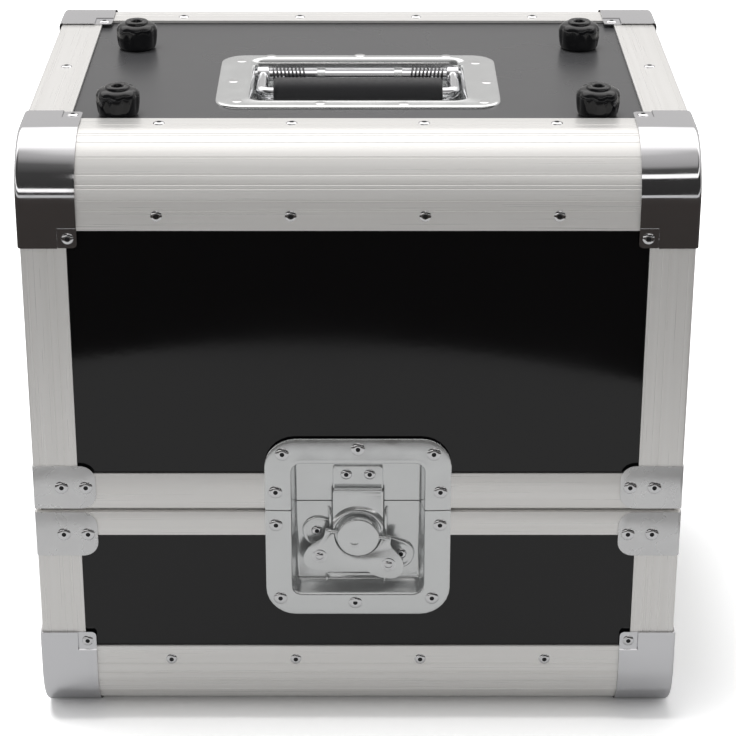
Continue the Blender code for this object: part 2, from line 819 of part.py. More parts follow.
def hub(carrier):
    """The turning hub: a domed head, a neck down to the mechanism plate and the wing's axle."""
    along = (0, 1, 0)
    made = rod(
        "latch_hub",
        (0, HUB_FACE + HUB_THICKNESS / 2, 0),
        along,
        HUB_RADIUS,
        HUB_THICKNESS,
        ZINC,
        carrier,
    )
    domed = made.modifiers.new("domed", "BEVEL")
    domed.width = HUB_DOME
    domed.segments = 2
    domed.limit_method = "ANGLE"
    neck_end = LATCH_TUB_DEPTH - MECHANISM_PLATE - SEAT
    neck_start = HUB_BACK - HUB_DIMPLE_DEPTH
    neck = rod(
        "hub_neck",
        (0, (neck_start + neck_end) / 2, 0),
        along,
        HUB_NECK_RADIUS,
        neck_end - neck_start,
        sides=SMALL_SIDES,
    )
    axle_reach = HUB_RADIUS + WING_HUB_PLAY + WING_EAR_WIDTH
    axle = rod(
        "hub_axle", (0, WING_AXIS_DEPTH, 0), (1, 0, 0), AXLE_RADIUS, 2 * axle_reach, sides=SMALL_SIDES
    )
    dimple = rod(
        "hub_dimple",
        (0, HUB_FACE, 0),
        along,
        HUB_DIMPLE_RADIUS,
        2 * HUB_DIMPLE_DEPTH,
        sides=SMALL_SIDES,
    )
    tilt(made, neck, axle, dimple)
    return cut(joined(made, neck, axle), dimple)


def wing_outline(inner, outer):
    """The wing's flat outline round the hub's centre: two ears, and a lobe under each of them."""
    ear_meets = math.degrees(math.acos((WING_RIVET_SIDE - outer) / WING_LOBE_RADIUS))
    bar_drop = WING_LOBE_RADIUS - WING_BAR_RISE
    bar_meets = math.degrees(math.asin(bar_drop / WING_LOBE_RADIUS))
    left_centre = (-WING_RIVET_SIDE, -WING_RIVET_DROP)
    right_centre = (WING_RIVET_SIDE, -WING_RIVET_DROP)
    hub_side = arc((0, 0), inner, 360, 180, ROUND_SIDES // 2)
    left_lobe = arc(left_centre, WING_LOBE_RADIUS, ear_meets, 360 - bar_meets, ROUND_SIDES // 2)
    right_lobe = arc(
        right_centre, WING_LOBE_RADIUS, 180 + bar_meets, 540 - ear_meets, ROUND_SIDES // 2
    )
    return [*hub_side, (-outer, 0), *left_lobe, *right_lobe, (outer, 0)]


def wing(carrier):
    """The folding wing: a bar with two lobes, hung by two barrels on the hub's axle."""
    inner = HUB_RADIUS + WING_HUB_PLAY
    outer = inner + WING_EAR_WIDTH
    made = slab(
        "latch_wing",
        wing_outline(inner, outer),
        "XZ",
        WING_AXIS_DEPTH - WING_PLATE / 2,
        WING_AXIS_DEPTH + WING_PLATE / 2,
        ZINC,
        carrier,
    )
    barrels = []
    bores = []
    for sign, hand in ((-1, "left"), (1, "right")):
        centre = (sign * (inner + outer) / 2, WING_AXIS_DEPTH, 0)
        barrel = rod(
            f"wing_{hand}_barrel",
            centre,
            (1, 0, 0),
            WING_BARREL_RADIUS,
            WING_EAR_WIDTH - SEAT,
            sides=SMALL_SIDES,
        )
        barrels.append(barrel)
        bore = rod(
            f"wing_{hand}_bore",
            centre,
            (1, 0, 0),
            AXLE_RADIUS + AXLE_PLAY,
            WING_EAR_WIDTH + OVERRUN,
            sides=SMALL_SIDES,
        )
        bores.append(bore)
    tilt(made, *barrels, *bores)
    return cut(joined(made, *barrels), *bores)


def hinge(hand, sign, lower, upper):
    """A rear hinge: the lower leaf holds the outer barrels and the pin, the upper the middle one."""
    centre_x = sign * (HALF_WIDTH - BRACE_LEG - HINGE_GAP - HINGE_WIDTH / 2)
    axis = (centre_x, BACK + SEAT + HINGE_BARREL_RADIUS, SPLIT_HEIGHT)
    left, right = axis[0] - HINGE_WIDTH / 2, axis[0] + HINGE_WIDTH / 2
    near, far = BACK + SEAT, BACK + SEAT + HINGE_LEAF
    third = HINGE_WIDTH / 3
    clear = HINGE_BARREL_RADIUS + HINGE_PLAY
    low = box(
        f"{hand}_hinge_lower_leaf",
        (left, near, SPLIT_HEIGHT - HINGE_LEAF_HEIGHT),
        (right, far, SPLIT_HEIGHT),
        ZINC,
        lower,
    )
    high = box(
        f"{hand}_hinge_upper_leaf",
        (left, near, SPLIT_HEIGHT),
        (right, far, SPLIT_HEIGHT + HINGE_LEAF_HEIGHT),
        ZINC,
        upper,
    )
    middle_room = box(
        f"{hand}_hinge_middle_room",
        (axis[0] - third / 2 - HINGE_PLAY, near - OVERRUN, SPLIT_HEIGHT - clear),
        (axis[0] + third / 2 + HINGE_PLAY, far + OVERRUN, SPLIT_HEIGHT + OVERRUN),
    )
    outer = []
    rooms = []
    for turn, place in ((-1, "first"), (1, "second")):
        outer.append(
            rod(
                f"{hand}_hinge_{place}_barrel",
                (axis[0] + turn * third, axis[1], axis[2]),
                (1, 0, 0),
                HINGE_BARREL_RADIUS,
                third - HINGE_PLAY,
                sides=SMALL_SIDES,
            )
        )
        inner_x = axis[0] + turn * (third / 2 - HINGE_PLAY)
        outer_x = axis[0] + turn * (HINGE_WIDTH / 2 + OVERRUN)
        ends = sorted((inner_x, outer_x))
        rooms.append(
            box(
                f"{hand}_hinge_{place}_room",
                (ends[0], near - OVERRUN, SPLIT_HEIGHT - OVERRUN),
                (ends[1], far + OVERRUN, SPLIT_HEIGHT + clear),
            )
        )
    pin = rod(
        f"{hand}_hinge_pin", axis, (1, 0, 0), HINGE_PIN_RADIUS, 2 * third, sides=SMALL_SIDES
    )
    joined(cut(low, middle_room), *outer, pin)
    barrel = rod(
        f"{hand}_hinge_middle_barrel",
        axis,
        (1, 0, 0),
        HINGE_BARREL_RADIUS,
        third - HINGE_PLAY,
        sides=SMALL_SIDES,
    )
    bore = rod(
        f"{hand}_hinge_bore",
        axis,
        (1, 0, 0),
        HINGE_PIN_RADIUS + HINGE_PLAY,
        third + OVERRUN,
        sides=SMALL_SIDES,
    )
    cut(joined(cut(high, *rooms), barrel), bore)


def tub_outline(margin):
    corner = HANDLE_TUB_CORNER + margin
    half = HANDLE_TUB_WIDTH / 2 + margin
    low = (-half, HANDLE_FRONT - margin)
    high = (half, HANDLE_BACK + margin)
    return rounded(low, high, (corner,) * 4)


def handle_dish(carrier):
    """The pressed dish that the handle lies in, with a hole at each end for the hinge rod."""
    half = HANDLE_TUB_WIDTH / 2 + HANDLE_BORDER_SIDE
    low = (-half, HANDLE_FRONT - HANDLE_BORDER_FRONT)
    high = (half, HANDLE_BACK + HANDLE_BORDER_BACK)
    flange = slab(
        "handle_dish",
        rounded(low, high, (HANDLE_FLANGE_CORNER,) * 4),
        "XY",
        PANEL_TOP + SEAT,
        FLANGE_TOP,
        ZINC,
        carrier,
    )
    tub = slab(
        "handle_tub",
        tub_outline(PRESSED),
        "XY",
        HANDLE_FLOOR - PRESSED,
        FLANGE_TOP - PRESSED / 2,
    )
    pocket = slab("handle_pocket", tub_outline(0), "XY", HANDLE_FLOOR, FLANGE_TOP + OVERRUN)
    rod_hole = rod(
        "handle_rod_hole",
        (0, ROD_Y, ROD_Z),
        (1, 0, 0),
        ROD_RADIUS + ROD_PLAY,
        HANDLE_TUB_WIDTH + 2 * (PRESSED + OVERRUN),
        sides=SMALL_SIDES,
    )
    return cut(joined(flange, tub), pocket, rod_hole)


def bail_points():
    """The bail's middle line: out along one arm, round the bend, through the grip and back."""
    points = [(-ARM_SIDE, ROD_Y, ROD_Z)]
    bends = (
        ((-ARM_SIDE + ARM_BEND, GRIP_Y + ARM_BEND), 180, 270),
        ((ARM_SIDE - ARM_BEND, GRIP_Y + ARM_BEND), 270, 360),
    )
    for centre, start, end in bends:
        points += [(*point, ROD_Z) for point in arc(centre, ARM_BEND, start, end, CORNER_STEPS)]
    points.append((ARM_SIDE, ROD_Y, ROD_Z))
    return points


def bail(carrier):
    made = tube("handle_bail", bail_points(), ARM_RADIUS, 3, CHROME, carrier)
    centre = (0, ROD_Y, ROD_Z)
    length = HANDLE_TUB_WIDTH + PRESSED
    hinge_rod = rod(
        "handle_hinge_rod", centre, (1, 0, 0), ROD_RADIUS, length, sides=SMALL_SIDES
    )
    eyes = [
        rod(
            f"handle_{hand}_eye",
            (sign * ARM_SIDE, ROD_Y, ROD_Z),
            (1, 0, 0),
            EYE_RADIUS,
            EYE_WIDTH,
            sides=SMALL_SIDES,
        )
        for sign, hand in ((-1, "left"), (1, "right"))
    ]
    return joined(made, *eyes, hinge_rod)


def grip(carrier):
    centre = (0, GRIP_Y, ROD_Z)
    made = rod("handle_grip", centre, (1, 0, 0), GRIP_RADIUS, GRIP_LENGTH, RUBBER, carrier)
    edge = made.modifiers.new("soft_edge", "BEVEL")
    edge.width = GRIP_EDGE
    edge.segments = 2
    edge.limit_method = "ANGLE"
    bore = rod(
        "grip_bore",
        centre,
        (1, 0, 0),
        ARM_RADIUS + CORE_PLAY,
        GRIP_LENGTH + 2 * OVERRUN,
        sides=SMALL_SIDES,
    )
    return cut(made, bore)


def spring_points(sign):
    """The wire's middle line: a leg down to the dish's floor, the coil, and a straight end."""
    radius = ROD_RADIUS + SPRING_PLAY + SPRING_WIRE_RADIUS
    count = SPRING_TURNS * SPRING_POINTS + SPRING_POINTS // 4
    coil_length = SPRING_PITCH * count / SPRING_POINTS
    start_x = sign * (ARM_SIDE - EYE_WIDTH / 2 - SPRING_EYE_GAP - coil_length)
    leg_end = HANDLE_FLOOR + SEAT
    points = [(start_x, ROD_Y - radius, leg_end)]
    for step in range(count + 1):
        turn = step / SPRING_POINTS
        angle = math.pi - math.tau * turn
        x = start_x + sign * SPRING_PITCH * turn
        points.append((x, ROD_Y + radius * math.cos(angle), ROD_Z + radius * math.sin(angle)))
    last = points[-1]
    points.append((last[0], last[1] + 2 * SPRING_WIRE_RADIUS, last[2]))
    return points


def least_gap(points, thickness):
    """The least clear distance between two turns of a wire, measured on its points."""
    apart = SPRING_POINTS // 2
    centres = [Vector(point) for point in points]
    gaps = [
        (first - second).length - thickness
        for index, first in enumerate(centres)
        for second in centres[index + apart :]
    ]
    return min(gaps)


def springs(carrier):
    for sign, hand in ((-1, "left"), (1, "right")):
        points = spring_points(sign)
        tube(f"handle_{hand}_spring", points, SPRING_WIRE_RADIUS, 1, CHROME, carrier)
        gap = least_gap(points[1:], 2 * SPRING_WIRE_RADIUS)
        print(f"handle_{hand}_spring least gap between turns {gap:.5f} m")


def foam_pads(lower, upper):
    """Thin foam sheets inside the closed ends; the upper one has a window for the handle's tub."""
    reach_x = HALF_WIDTH - PANEL_INNER - PAD_PLAY
    reach_y = ROUND_RADIUS + ROUND_LIP + PAD_PLAY
    low = BASE + PANEL_INNER + SEAT
    box(
        "lower_foam_pad",
        (-reach_x, FRONT + reach_y, low),
        (reach_x, BACK - reach_y, low + LOWER_PAD),
        FOAM,
        lower,
    )
    high = TOP - PANEL_INNER - SEAT
    pad = box(
        "upper_foam_pad",
        (-reach_x, FRONT + reach_y, high - UPPER_PAD),
        (reach_x, BACK - reach_y, high),
        FOAM,
        upper,
    )
    window = slab(
        "pad_window",
        tub_outline(PRESSED + PAD_PLAY),
        "XY",
        high - UPPER_PAD - OVERRUN,
        high + OVERRUN,
    )
    cut(pad, window)


def build():
    hinge_axis = (0, BACK + SEAT + HINGE_BARREL_RADIUS, SPLIT_HEIGHT)
    hub_place = (0, FRONT + WING_AXIS_DEPTH, HUB_HEIGHT)
    base = pivot("base", (0, 0, 0))
    cover = pivot("cover", hinge_axis, base)
    handle = pivot("handle", (0, ROD_Y, ROD_Z), cover)
    drum = pivot("hub", hub_place, base)
    folding = pivot("wing", hub_place, drum)
    drawing = pivot("draw", hub_place, base)

    upright_low = BASE + ROUND_LEG + SEAT
    upright_high = LOWER_FACE - LOWER_STRIP - SEAT
    _, lower_walls = section("lower", "bottom", LOWER_WALL_END, upright_low, upright_high, base)
    upright_low = UPPER_FACE + UPPER_STRIP + SEAT
    upright_high = TOP - ROUND_LEG - SEAT
    top_panel, upper_walls = section("upper", "top", UPPER_WALL_END, upright_low, upright_high, cover)

    hole = latch_hole()
    for piece in (lower_walls, upper_walls, lower_rim(base), upper_rim(cover)):
        cut(piece, hole)
    handle_hole = slab(
        "handle_hole",
        tub_outline(PRESSED + SEAT),
        "XY",
        TOP - PANEL_INNER - OVERRUN,
        TOP + OVERRUN,
    )
    cut(top_panel, handle_hole)

    joined(latch_dish("lower_latch_dish", "lower", base), mechanism_plate())
    latch_dish("upper_latch_dish", "upper", cover)
    keeper(cover)
    draw_plate(drawing)
    hub(drum)
    wing(folding)

    for sign, hand in ((-1, "left"), (1, "right")):
        hinge(hand, sign, base, cover)
        for side in ("front", "back"):
            foot(f"{side}_{hand}_foot", sign, side, cover)

    handle_dish(cover)
    bail(handle)
    grip(handle)
    springs(cover)
    foam_pads(base, cover)


build()
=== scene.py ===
# Looks of a record carrying case: profiles, covers, rivets, latch, handle and feet round the
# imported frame
import json
import math

import bmesh
import bpy
from mathutils import Matrix, Vector, noise


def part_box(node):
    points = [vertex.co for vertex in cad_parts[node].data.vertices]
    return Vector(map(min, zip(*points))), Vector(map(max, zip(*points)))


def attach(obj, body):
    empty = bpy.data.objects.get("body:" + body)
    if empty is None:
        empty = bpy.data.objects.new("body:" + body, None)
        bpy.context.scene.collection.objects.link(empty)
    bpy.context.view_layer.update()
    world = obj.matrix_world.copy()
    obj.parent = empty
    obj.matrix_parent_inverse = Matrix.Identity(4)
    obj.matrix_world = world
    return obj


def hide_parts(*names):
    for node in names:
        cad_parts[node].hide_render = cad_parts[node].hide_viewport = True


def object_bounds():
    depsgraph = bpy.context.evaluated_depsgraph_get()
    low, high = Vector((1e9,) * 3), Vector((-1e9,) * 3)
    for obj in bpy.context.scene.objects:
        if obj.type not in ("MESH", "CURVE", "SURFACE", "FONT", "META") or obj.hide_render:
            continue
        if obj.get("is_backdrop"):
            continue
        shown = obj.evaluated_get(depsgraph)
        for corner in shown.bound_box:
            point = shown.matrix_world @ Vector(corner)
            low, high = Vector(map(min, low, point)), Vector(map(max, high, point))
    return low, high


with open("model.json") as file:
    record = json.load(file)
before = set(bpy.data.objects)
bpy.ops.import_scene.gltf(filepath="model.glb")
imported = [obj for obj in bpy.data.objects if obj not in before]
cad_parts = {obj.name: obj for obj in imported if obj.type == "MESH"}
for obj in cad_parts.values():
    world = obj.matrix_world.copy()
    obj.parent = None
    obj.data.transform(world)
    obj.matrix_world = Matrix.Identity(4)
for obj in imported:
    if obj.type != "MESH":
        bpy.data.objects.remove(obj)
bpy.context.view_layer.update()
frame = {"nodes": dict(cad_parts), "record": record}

print("Frame loaded:", len(frame["nodes"]), "nodes")

mm = 0.001  # the scene is in metres

# Planes of the case, read from the frame
rimLow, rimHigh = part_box("lower_closure_rim")
frontY = rimLow.y
backY = rimHigh.y
sideX = rimHigh.x
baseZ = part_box("lower_front_round_profile")[0].z
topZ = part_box("upper_front_round_profile")[1].z
lowerFaceZ = rimHigh.z
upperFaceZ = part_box("upper_front_left_brace_corner")[0].z
splitZ = (lowerFaceZ + upperFaceZ) / 2
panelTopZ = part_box("upper_top_panel")[1].z
hubLow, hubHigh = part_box("latch_hub")

bodyOf = {}
for bodyName, members in frame["record"]["behaviour"]["bodies"].items():
    for member in members:
        bodyOf[member] = bodyName


# Materials


def newMaterial(name, colour, roughness, metallic=0.0):
    made = bpy.data.materials.new(name)
    made.use_nodes = True
    shader = made.node_tree.nodes["Principled BSDF"]
    shader.inputs["Base Color"].default_value = (*colour, 1)
    shader.inputs["Roughness"].default_value = roughness
    shader.inputs["Metallic"].default_value = metallic
    return made


def addNode(made, kind, **values):
    node = made.node_tree.nodes.new("ShaderNode" + kind)
    for name, value in values.items():
        if hasattr(node, name):
            setattr(node, name, value)
        else:
            node.inputs[name.replace("_", " ")].default_value = value
    return node


def wire(made, source, sourceSocket, target, targetSocket):
    made.node_tree.links.new(source.outputs[sourceSocket], target.inputs[targetSocket])


def noiseField(made, scale, stretch=(1, 1, 1), detail=3.0):
    place = addNode(made, "TexCoord")
    mapping = addNode(made, "Mapping", Scale=stretch)
    field = addNode(made, "TexNoise", Scale=scale, Detail=detail)
    wire(made, place, "Object", mapping, "Vector")
    wire(made, mapping, "Vector", field, "Vector")
    return field


def varied(made, field, socket, low, high):  # drives a number on the shader by a noise
    span = addNode(made, "MapRange", From_Min=0.3, From_Max=0.7, To_Min=low, To_Max=high)
    wire(made, field, "Fac", span, "Value")
    wire(made, span, "Result", made.node_tree.nodes["Principled BSDF"], socket)


def tinted(made, field, dark, light):  # drives the base colour between two colours by a noise
    ramp = addNode(made, "ValToRGB")
    ramp.color_ramp.elements[0].position = 0.3
    ramp.color_ramp.elements[0].color = (*dark, 1)
    ramp.color_ramp.elements[1].position = 0.7
    ramp.color_ramp.elements[1].color = (*light, 1)
    wire(made, field, "Fac", ramp, "Fac")
    wire(made, ramp, "Color", made.node_tree.nodes["Principled BSDF"], "Base Color")


def bumped(made, field, strength, distance):
    bump = addNode(made, "Bump", Strength=strength, Distance=distance)
    wire(made, field, "Fac", bump, "Height")
    wire(made, bump, "Normal", made.node_tree.nodes["Principled BSDF"], "Normal")


# Each finish: name, colour, roughness, metal and the way it is brushed, then each noise with its
# scale and detail, and the low and high end of what it drives
materialSetup = {
    "plate": ("plateAluminium", (0.80, 0.80, 0.80), 0.27, 0.55, None, (
        (70, 3.0, {"roughness": (0.22, 0.34)}),
        (25, 3.0, {"tint": ((0.77, 0.77, 0.775), (0.83, 0.83, 0.83))}),
        (90, 1.0, {"bump": (0.10, 0.0003)}),
    )),
    "chrome": ("brightChrome", (0.80, 0.80, 0.82), 0.07, 1.0, None, (
        (60, 3.0, {"roughness": (0.05, 0.11)}),
        (32, 1.0, {"bump": (0.10, 0.0008)}),
    )),
    "zinc": ("zincPlate", (0.78, 0.79, 0.79), 0.2, 0.85, None, (
        (90, 3.0, {"roughness": (0.14, 0.24)}),
        (130, 1.0, {"bump": (0.10, 0.0003)}),
    )),
    "hubFace": ("turnedFace", (0.80, 0.79, 0.78), 0.36, 1.0, None, (
        (260, 3.0, {"roughness": (0.30, 0.42), "bump": (0.12, 0.0001)}),
    )),
    "hubDimple": ("castDimple", (0.36, 0.35, 0.34), 0.55, 0.7, None, (
        (900, 3.0, {"tint": ((0.22, 0.215, 0.21), (0.50, 0.49, 0.48)), "bump": (0.4, 0.0002)}),
    )),
    "rivet": ("rivetSteel", (0.80, 0.80, 0.81), 0.12, 1.0, None, (
        (400, 3.0, {"roughness": (0.09, 0.18)}),
    )),
    # near black: painted shade in rivet holes, slots, gaps and wells
    "paintedShadeBlack": ("paintedShadeBlack", (0.03, 0.03, 0.032), 0.5, 0.6, None, (
        (900, 3.0, {"roughness": (0.4, 0.6)}),
    )),
    # dark spring steel for the coils; on the bail's rod the same dark colour is painted reflection
    # and shade
    "springSteelAndRodShade": ("springSteelAndRodShade", (0.13, 0.13, 0.135), 0.25, 1.0, None, (
        (300, 3.0, {"roughness": (0.2, 0.32)}),
    )),
    "zincPaintedShade": ("zincPaintedShade", (0.16, 0.16, 0.165), 0.22, 0.9, None, (  # painted shade: darker zinc for the tubs' inner walls
        (90, 3.0, {"roughness": (0.16, 0.28)}),
    )),
    "laminate": ("blackLaminate", (0.003, 0.003, 0.0034), 0.16, 0.0, None, (
        (260, 4.0, {"bump": (0.03, 0.0002)}),
        (9, 3.0, {"roughness": (0.05, 0.09)}),
    )),
    # the same black laminate for the top panel, rougher, with a lighter base colour that is
    # painted sheen from the overhead light
    "topLaminatePaintedSheen": ("topLaminatePaintedSheen", (0.078, 0.078, 0.081), 0.16, 0.0, None, (
        (260, 4.0, {"bump": (0.03, 0.0002)}),
        (9, 3.0, {"roughness": (0.22, 0.34)}),
    )),
    "rubber": ("blackRubber", (0.006, 0.006, 0.007), 0.15, 0.0, None, (
        (700, 3.0, {"bump": (0.10, 0.0001), "roughness": (0.12, 0.18)}),
    )),
    "gripRubber": ("gripRubber", (0.020, 0.020, 0.022), 0.45, 0.0, None, (
        (700, 3.0, {"bump": (0.10, 0.0001), "roughness": (0.36, 0.54)}),
    )),
    "foam": ("greyFoam", (0.05, 0.05, 0.055), 0.95, 0.0, None, (
        (1100, 5.0, {"tint": ((0.02, 0.02, 0.022), (0.09, 0.09, 0.095)), "bump": (0.8, 0.0006)}),
    )),
}
brushedStretch = {None: (1, 1, 1), "X": (0.006, 1, 1), "Y": (1, 0.006, 1), "Z": (1, 1, 0.006)}
for along in "XYZ":  # the extrusions are brushed along their length
    materialSetup["aluminium" + along] = (
        "satinAluminium" + along, (0.88, 0.865, 0.84), 0.32, 0.38, along, (
            (1700, 2.0, {"bump": (0.05, 0.00008), "roughness": (0.27, 0.35)}),
            (240, 4.0, {"tint": ((0.86, 0.845, 0.82), (0.92, 0.905, 0.885))}),
        )
    )


def makeMaterial(name, colour, roughness, metallic, along, layers):
    made = newMaterial(name, colour, roughness, metallic)
    for scale, detail, effects in layers:
        field = noiseField(made, scale, brushedStretch[along], detail)
        if "bump" in effects:
            bumped(made, field, *effects["bump"])
        if "roughness" in effects:
            varied(made, field, "Roughness", *effects["roughness"])
        if "tint" in effects:
            tinted(made, field, *effects["tint"])
    return made


materials = {key: makeMaterial(*setup) for key, setup in materialSetup.items()}
print("Materials made:", len(materials))

recordSlots = {row["node"]: row.get("material_slot") for row in frame["record"]["subparts"]}
slotMaterials = {
    "satin_aluminium": "aluminiumX", "bright_chrome": "chrome", "zinc_plate": "zinc",
    "black_laminate": "laminate", "black_rubber": "rubber", "grey_foam": "foam",
}


def dressNode(name, material):
    frame["nodes"][name].data.materials.clear()
    frame["nodes"][name].data.materials.append(material)


for nodeName, slotName in recordSlots.items():
    dressNode(nodeName, materials[slotMaterials[slotName]])
# the top panel gets the lighter laminate: painted sheen
dressNode("upper_top_panel", materials["topLaminatePaintedSheen"])
print("Frame nodes dressed")

# Helpers that every piece uses


def faceOut(bm, outside):  # turns an open sheet's faces towards a direction
    bmesh.ops.recalc_face_normals(bm, faces=bm.faces)
    bm.normal_update()
    lean = sum((face.normal * face.calc_area() for face in bm.faces), Vector())
    if lean.dot(Vector(outside)) < 0:
        bmesh.ops.reverse_faces(bm, faces=bm.faces)
        bm.normal_update()


def addPiece(name, bm, finishes, body, replaced=(), outside=None, wall=0, edge=0, sharp=32):
    bmesh.ops.remove_doubles(bm, verts=bm.verts, dist=0.01 * mm)
    if outside is None:
        bmesh.ops.recalc_face_normals(bm, faces=bm.faces)
    else:
        faceOut(bm, outside)
    mesh = bpy.data.meshes.new(name)
    bm.to_mesh(mesh)
    bm.free()
    imported = mesh.attributes.get("custom_normal")
    if imported:
        mesh.attributes.remove(imported)
    mesh.materials.clear()
    for finish in finishes:
        mesh.materials.append(materials[finish])
    piece = bpy.data.objects.new(name, mesh)
    bpy.context.scene.collection.objects.link(piece)
    if wall:
        sheet = piece.modifiers.new("sheet", "SOLIDIFY")
        sheet.thickness = wall
        sheet.offset = -1
    if edge:
        soft = piece.modifiers.new("softEdges", "BEVEL")
        soft.width = edge
        soft.segments = 2
        soft.limit_method = "ANGLE"
        soft.angle_limit = math.radians(35)
    if wall or edge:
        bpy.context.view_layer.update()
        shaped = piece.evaluated_get(bpy.context.evaluated_depsgraph_get())
        baked = bpy.data.meshes.new_from_object(shaped)
        piece.modifiers.clear()
        piece.data = baked
        bpy.data.meshes.remove(mesh)
    piece.data.shade_smooth()
    piece.data.set_sharp_from_angle(angle=math.radians(sharp))
    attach(piece, body)
    if replaced:
        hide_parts(*replaced)
    return piece


def addPath(bm, points):  # a line through points: its vertices and its edges
    verts = [bm.verts.new(point) for point in points]
    return verts, [bm.edges.new(pair) for pair in zip(verts, verts[1:])]


def shiftNew(bm, grown, vec):
    moved = [part for part in grown if isinstance(part, bmesh.types.BMVert)]
    bmesh.ops.translate(bm, vec=vec, verts=moved)
    return moved


def growEdges(bm, edges, vec):  # returns the far edges
    grown = bmesh.ops.extrude_edge_only(bm, edges=edges)["geom"]
    moved = shiftNew(bm, grown, vec)
    new = [part for part in grown if isinstance(part, bmesh.types.BMEdge)]
    return [edge for edge in new if all(vert in moved for vert in edge.verts)]


def growFaces(bm, vec):
    shiftNew(bm, bmesh.ops.extrude_face_region(bm, geom=bm.faces[:])["geom"], vec)


def bridgeAll(bm, rings):
    for first, second in zip(rings, rings[1:]):
        bmesh.ops.bridge_loops(bm, edges=first + second)


def paintNew(bm, known, index):  # gives the faces made since known was taken a material
    for face in bm.faces:
        if face not in known:
            face.material_index = index


def roundOff(bm, geom, width, steps, affect="EDGES"):
    bmesh.ops.bevel(
        bm, geom=geom, offset=width, segments=steps, profile=0.5, affect=affect, material=-1
    )


def inMm(pairs):
    return [(first * mm, second * mm) for first, second in pairs]


def softenedCopy(node, name, finish, width, sharp=32):
    bm = bmesh.new()
    bm.from_mesh(frame["nodes"][node].data)
    bmesh.ops.remove_doubles(bm, verts=bm.verts, dist=0.01 * mm)
    bmesh.ops.dissolve_limit(bm, angle_limit=math.radians(1), verts=bm.verts[:], edges=bm.edges[:])
    for face in bm.faces:
        face.material_index = 0
    return addPiece(name, bm, [finish], bodyOf[node], [node], edge=width, sharp=sharp)


# Local x, y and outward height on each face of the case, as matrix rows
facing = {
    "front": Matrix(((1, 0, 0), (0, 0, -1), (0, 1, 0))),
    "back": Matrix(((-1, 0, 0), (0, 0, 1), (0, 1, 0))),
    "right": Matrix(((0, 0, 1), (1, 0, 0), (0, 1, 0))),
    "left": Matrix(((0, 0, -1), (-1, 0, 0), (0, 1, 0))),
    "top": Matrix(((1, 0, 0), (0, 1, 0), (0, 0, 1))),
    "bottom": Matrix(((1, 0, 0), (0, -1, 0), (0, 0, -1))),
}


def standOn(bm, face, at, verts=None):
    turn = Matrix.Translation(at) @ facing[face].to_4x4()
    bmesh.ops.transform(bm, matrix=turn, verts=verts or bm.verts)


def lathe(bm, profile, steps, centre=(0, 0)):  # spins (radius, height) pairs about the height
    points = [(centre[0] + radius, centre[1], height) for radius, height in profile]
    verts, edges = addPath(bm, points)
    bmesh.ops.spin(
        bm, geom=verts + edges, cent=(*centre, 0), axis=(0, 0, 1), angle=math.tau, steps=steps,
        use_merge=True,
    )
    bmesh.ops.remove_doubles(bm, verts=bm.verts, dist=0.01 * mm)


def addRing(bm, low, high, corner, height, steps=7):  # a rounded rectangle's edge loop
    known = set(bm.faces)
    corners = bmesh.ops.create_grid(bm, x_segments=1, y_segments=1, size=0.5)["verts"]
    centre = Matrix.Translation(((low[0] + high[0]) / 2, (low[1] + high[1]) / 2, height))
    size = Matrix.Diagonal((high[0] - low[0], high[1] - low[1], 1, 1))
    bmesh.ops.transform(bm, matrix=centre @ size, verts=corners)
    roundOff(bm, corners, corner, steps, "VERTICES")
    face = next(face for face in bm.faces if face not in known)
    edges = face.edges[:]
    bmesh.ops.delete(bm, geom=[face], context="FACES_ONLY")
    return edges


def cutAt(bm, at, normal, faces=None, snap=1e-6, away=False):  # away drops the normal's side
    geom = bm.verts[:] + bm.edges[:] + bm.faces[:]
    if faces is not None:
        edges = {edge for face in faces for edge in face.edges}
        geom = list(faces) + list(edges) + list({vert for edge in edges for vert in edge.verts})
    bmesh.ops.bisect_plane(
        bm, geom=geom, plane_co=at, plane_no=normal, dist=snap, clear_outer=away
    )


def addBlock(bm, low, high, edge=0):
    verts = bmesh.ops.create_cube(bm, size=1)["verts"]
    size = Vector(high) - Vector(low)
    middle = Matrix.Translation(Vector(low) + size / 2)
    bmesh.ops.transform(bm, matrix=middle @ Matrix.Diagonal((*size, 1)), verts=verts)
    if edge:
        edges = list({line for vert in verts for line in vert.link_edges})
        roundOff(bm, edges, edge, 2)


# A corner's own axes are distances inward from the side, the front or back and the closed end


def cornerMatrix(sign, side, end):
    towardsY = 1 if side == "front" else -1
    towardsZ = 1 if end == "bottom" else -1
    planeY = frontY if side == "front" else backY
    planeZ = baseZ if end == "bottom" else topZ
    return Matrix.Translation((sign * sideX, planeY, planeZ)) @ Matrix.Diagonal(
        (-sign, towardsY, towardsZ, 1)
    )


def outwardOf(sign, side, end):
    return Vector((sign, -1 if side == "front" else 1, -1 if end == "bottom" else 1))


# Rivets

rivetSetup = {
    "profileHead": 3.3 * mm, "plateHead": 3.9 * mm, "height": 0.80 * mm, "hole": 1.3 * mm,
    "holeDepth": 0.7 * mm, "steps": 18,
    "dome": ((0, 0.44), (1.4, 0.40), (2.5, 0.27), (3.2, 0.06), (3.3, -0.2)),
}


def domeMesh():
    bm = bmesh.new()
    lathe(bm, inMm(rivetSetup["dome"]), rivetSetup["steps"])
    mesh = bpy.data.meshes.new("dome")
    bm.to_mesh(mesh)
    bm.free()
    return mesh


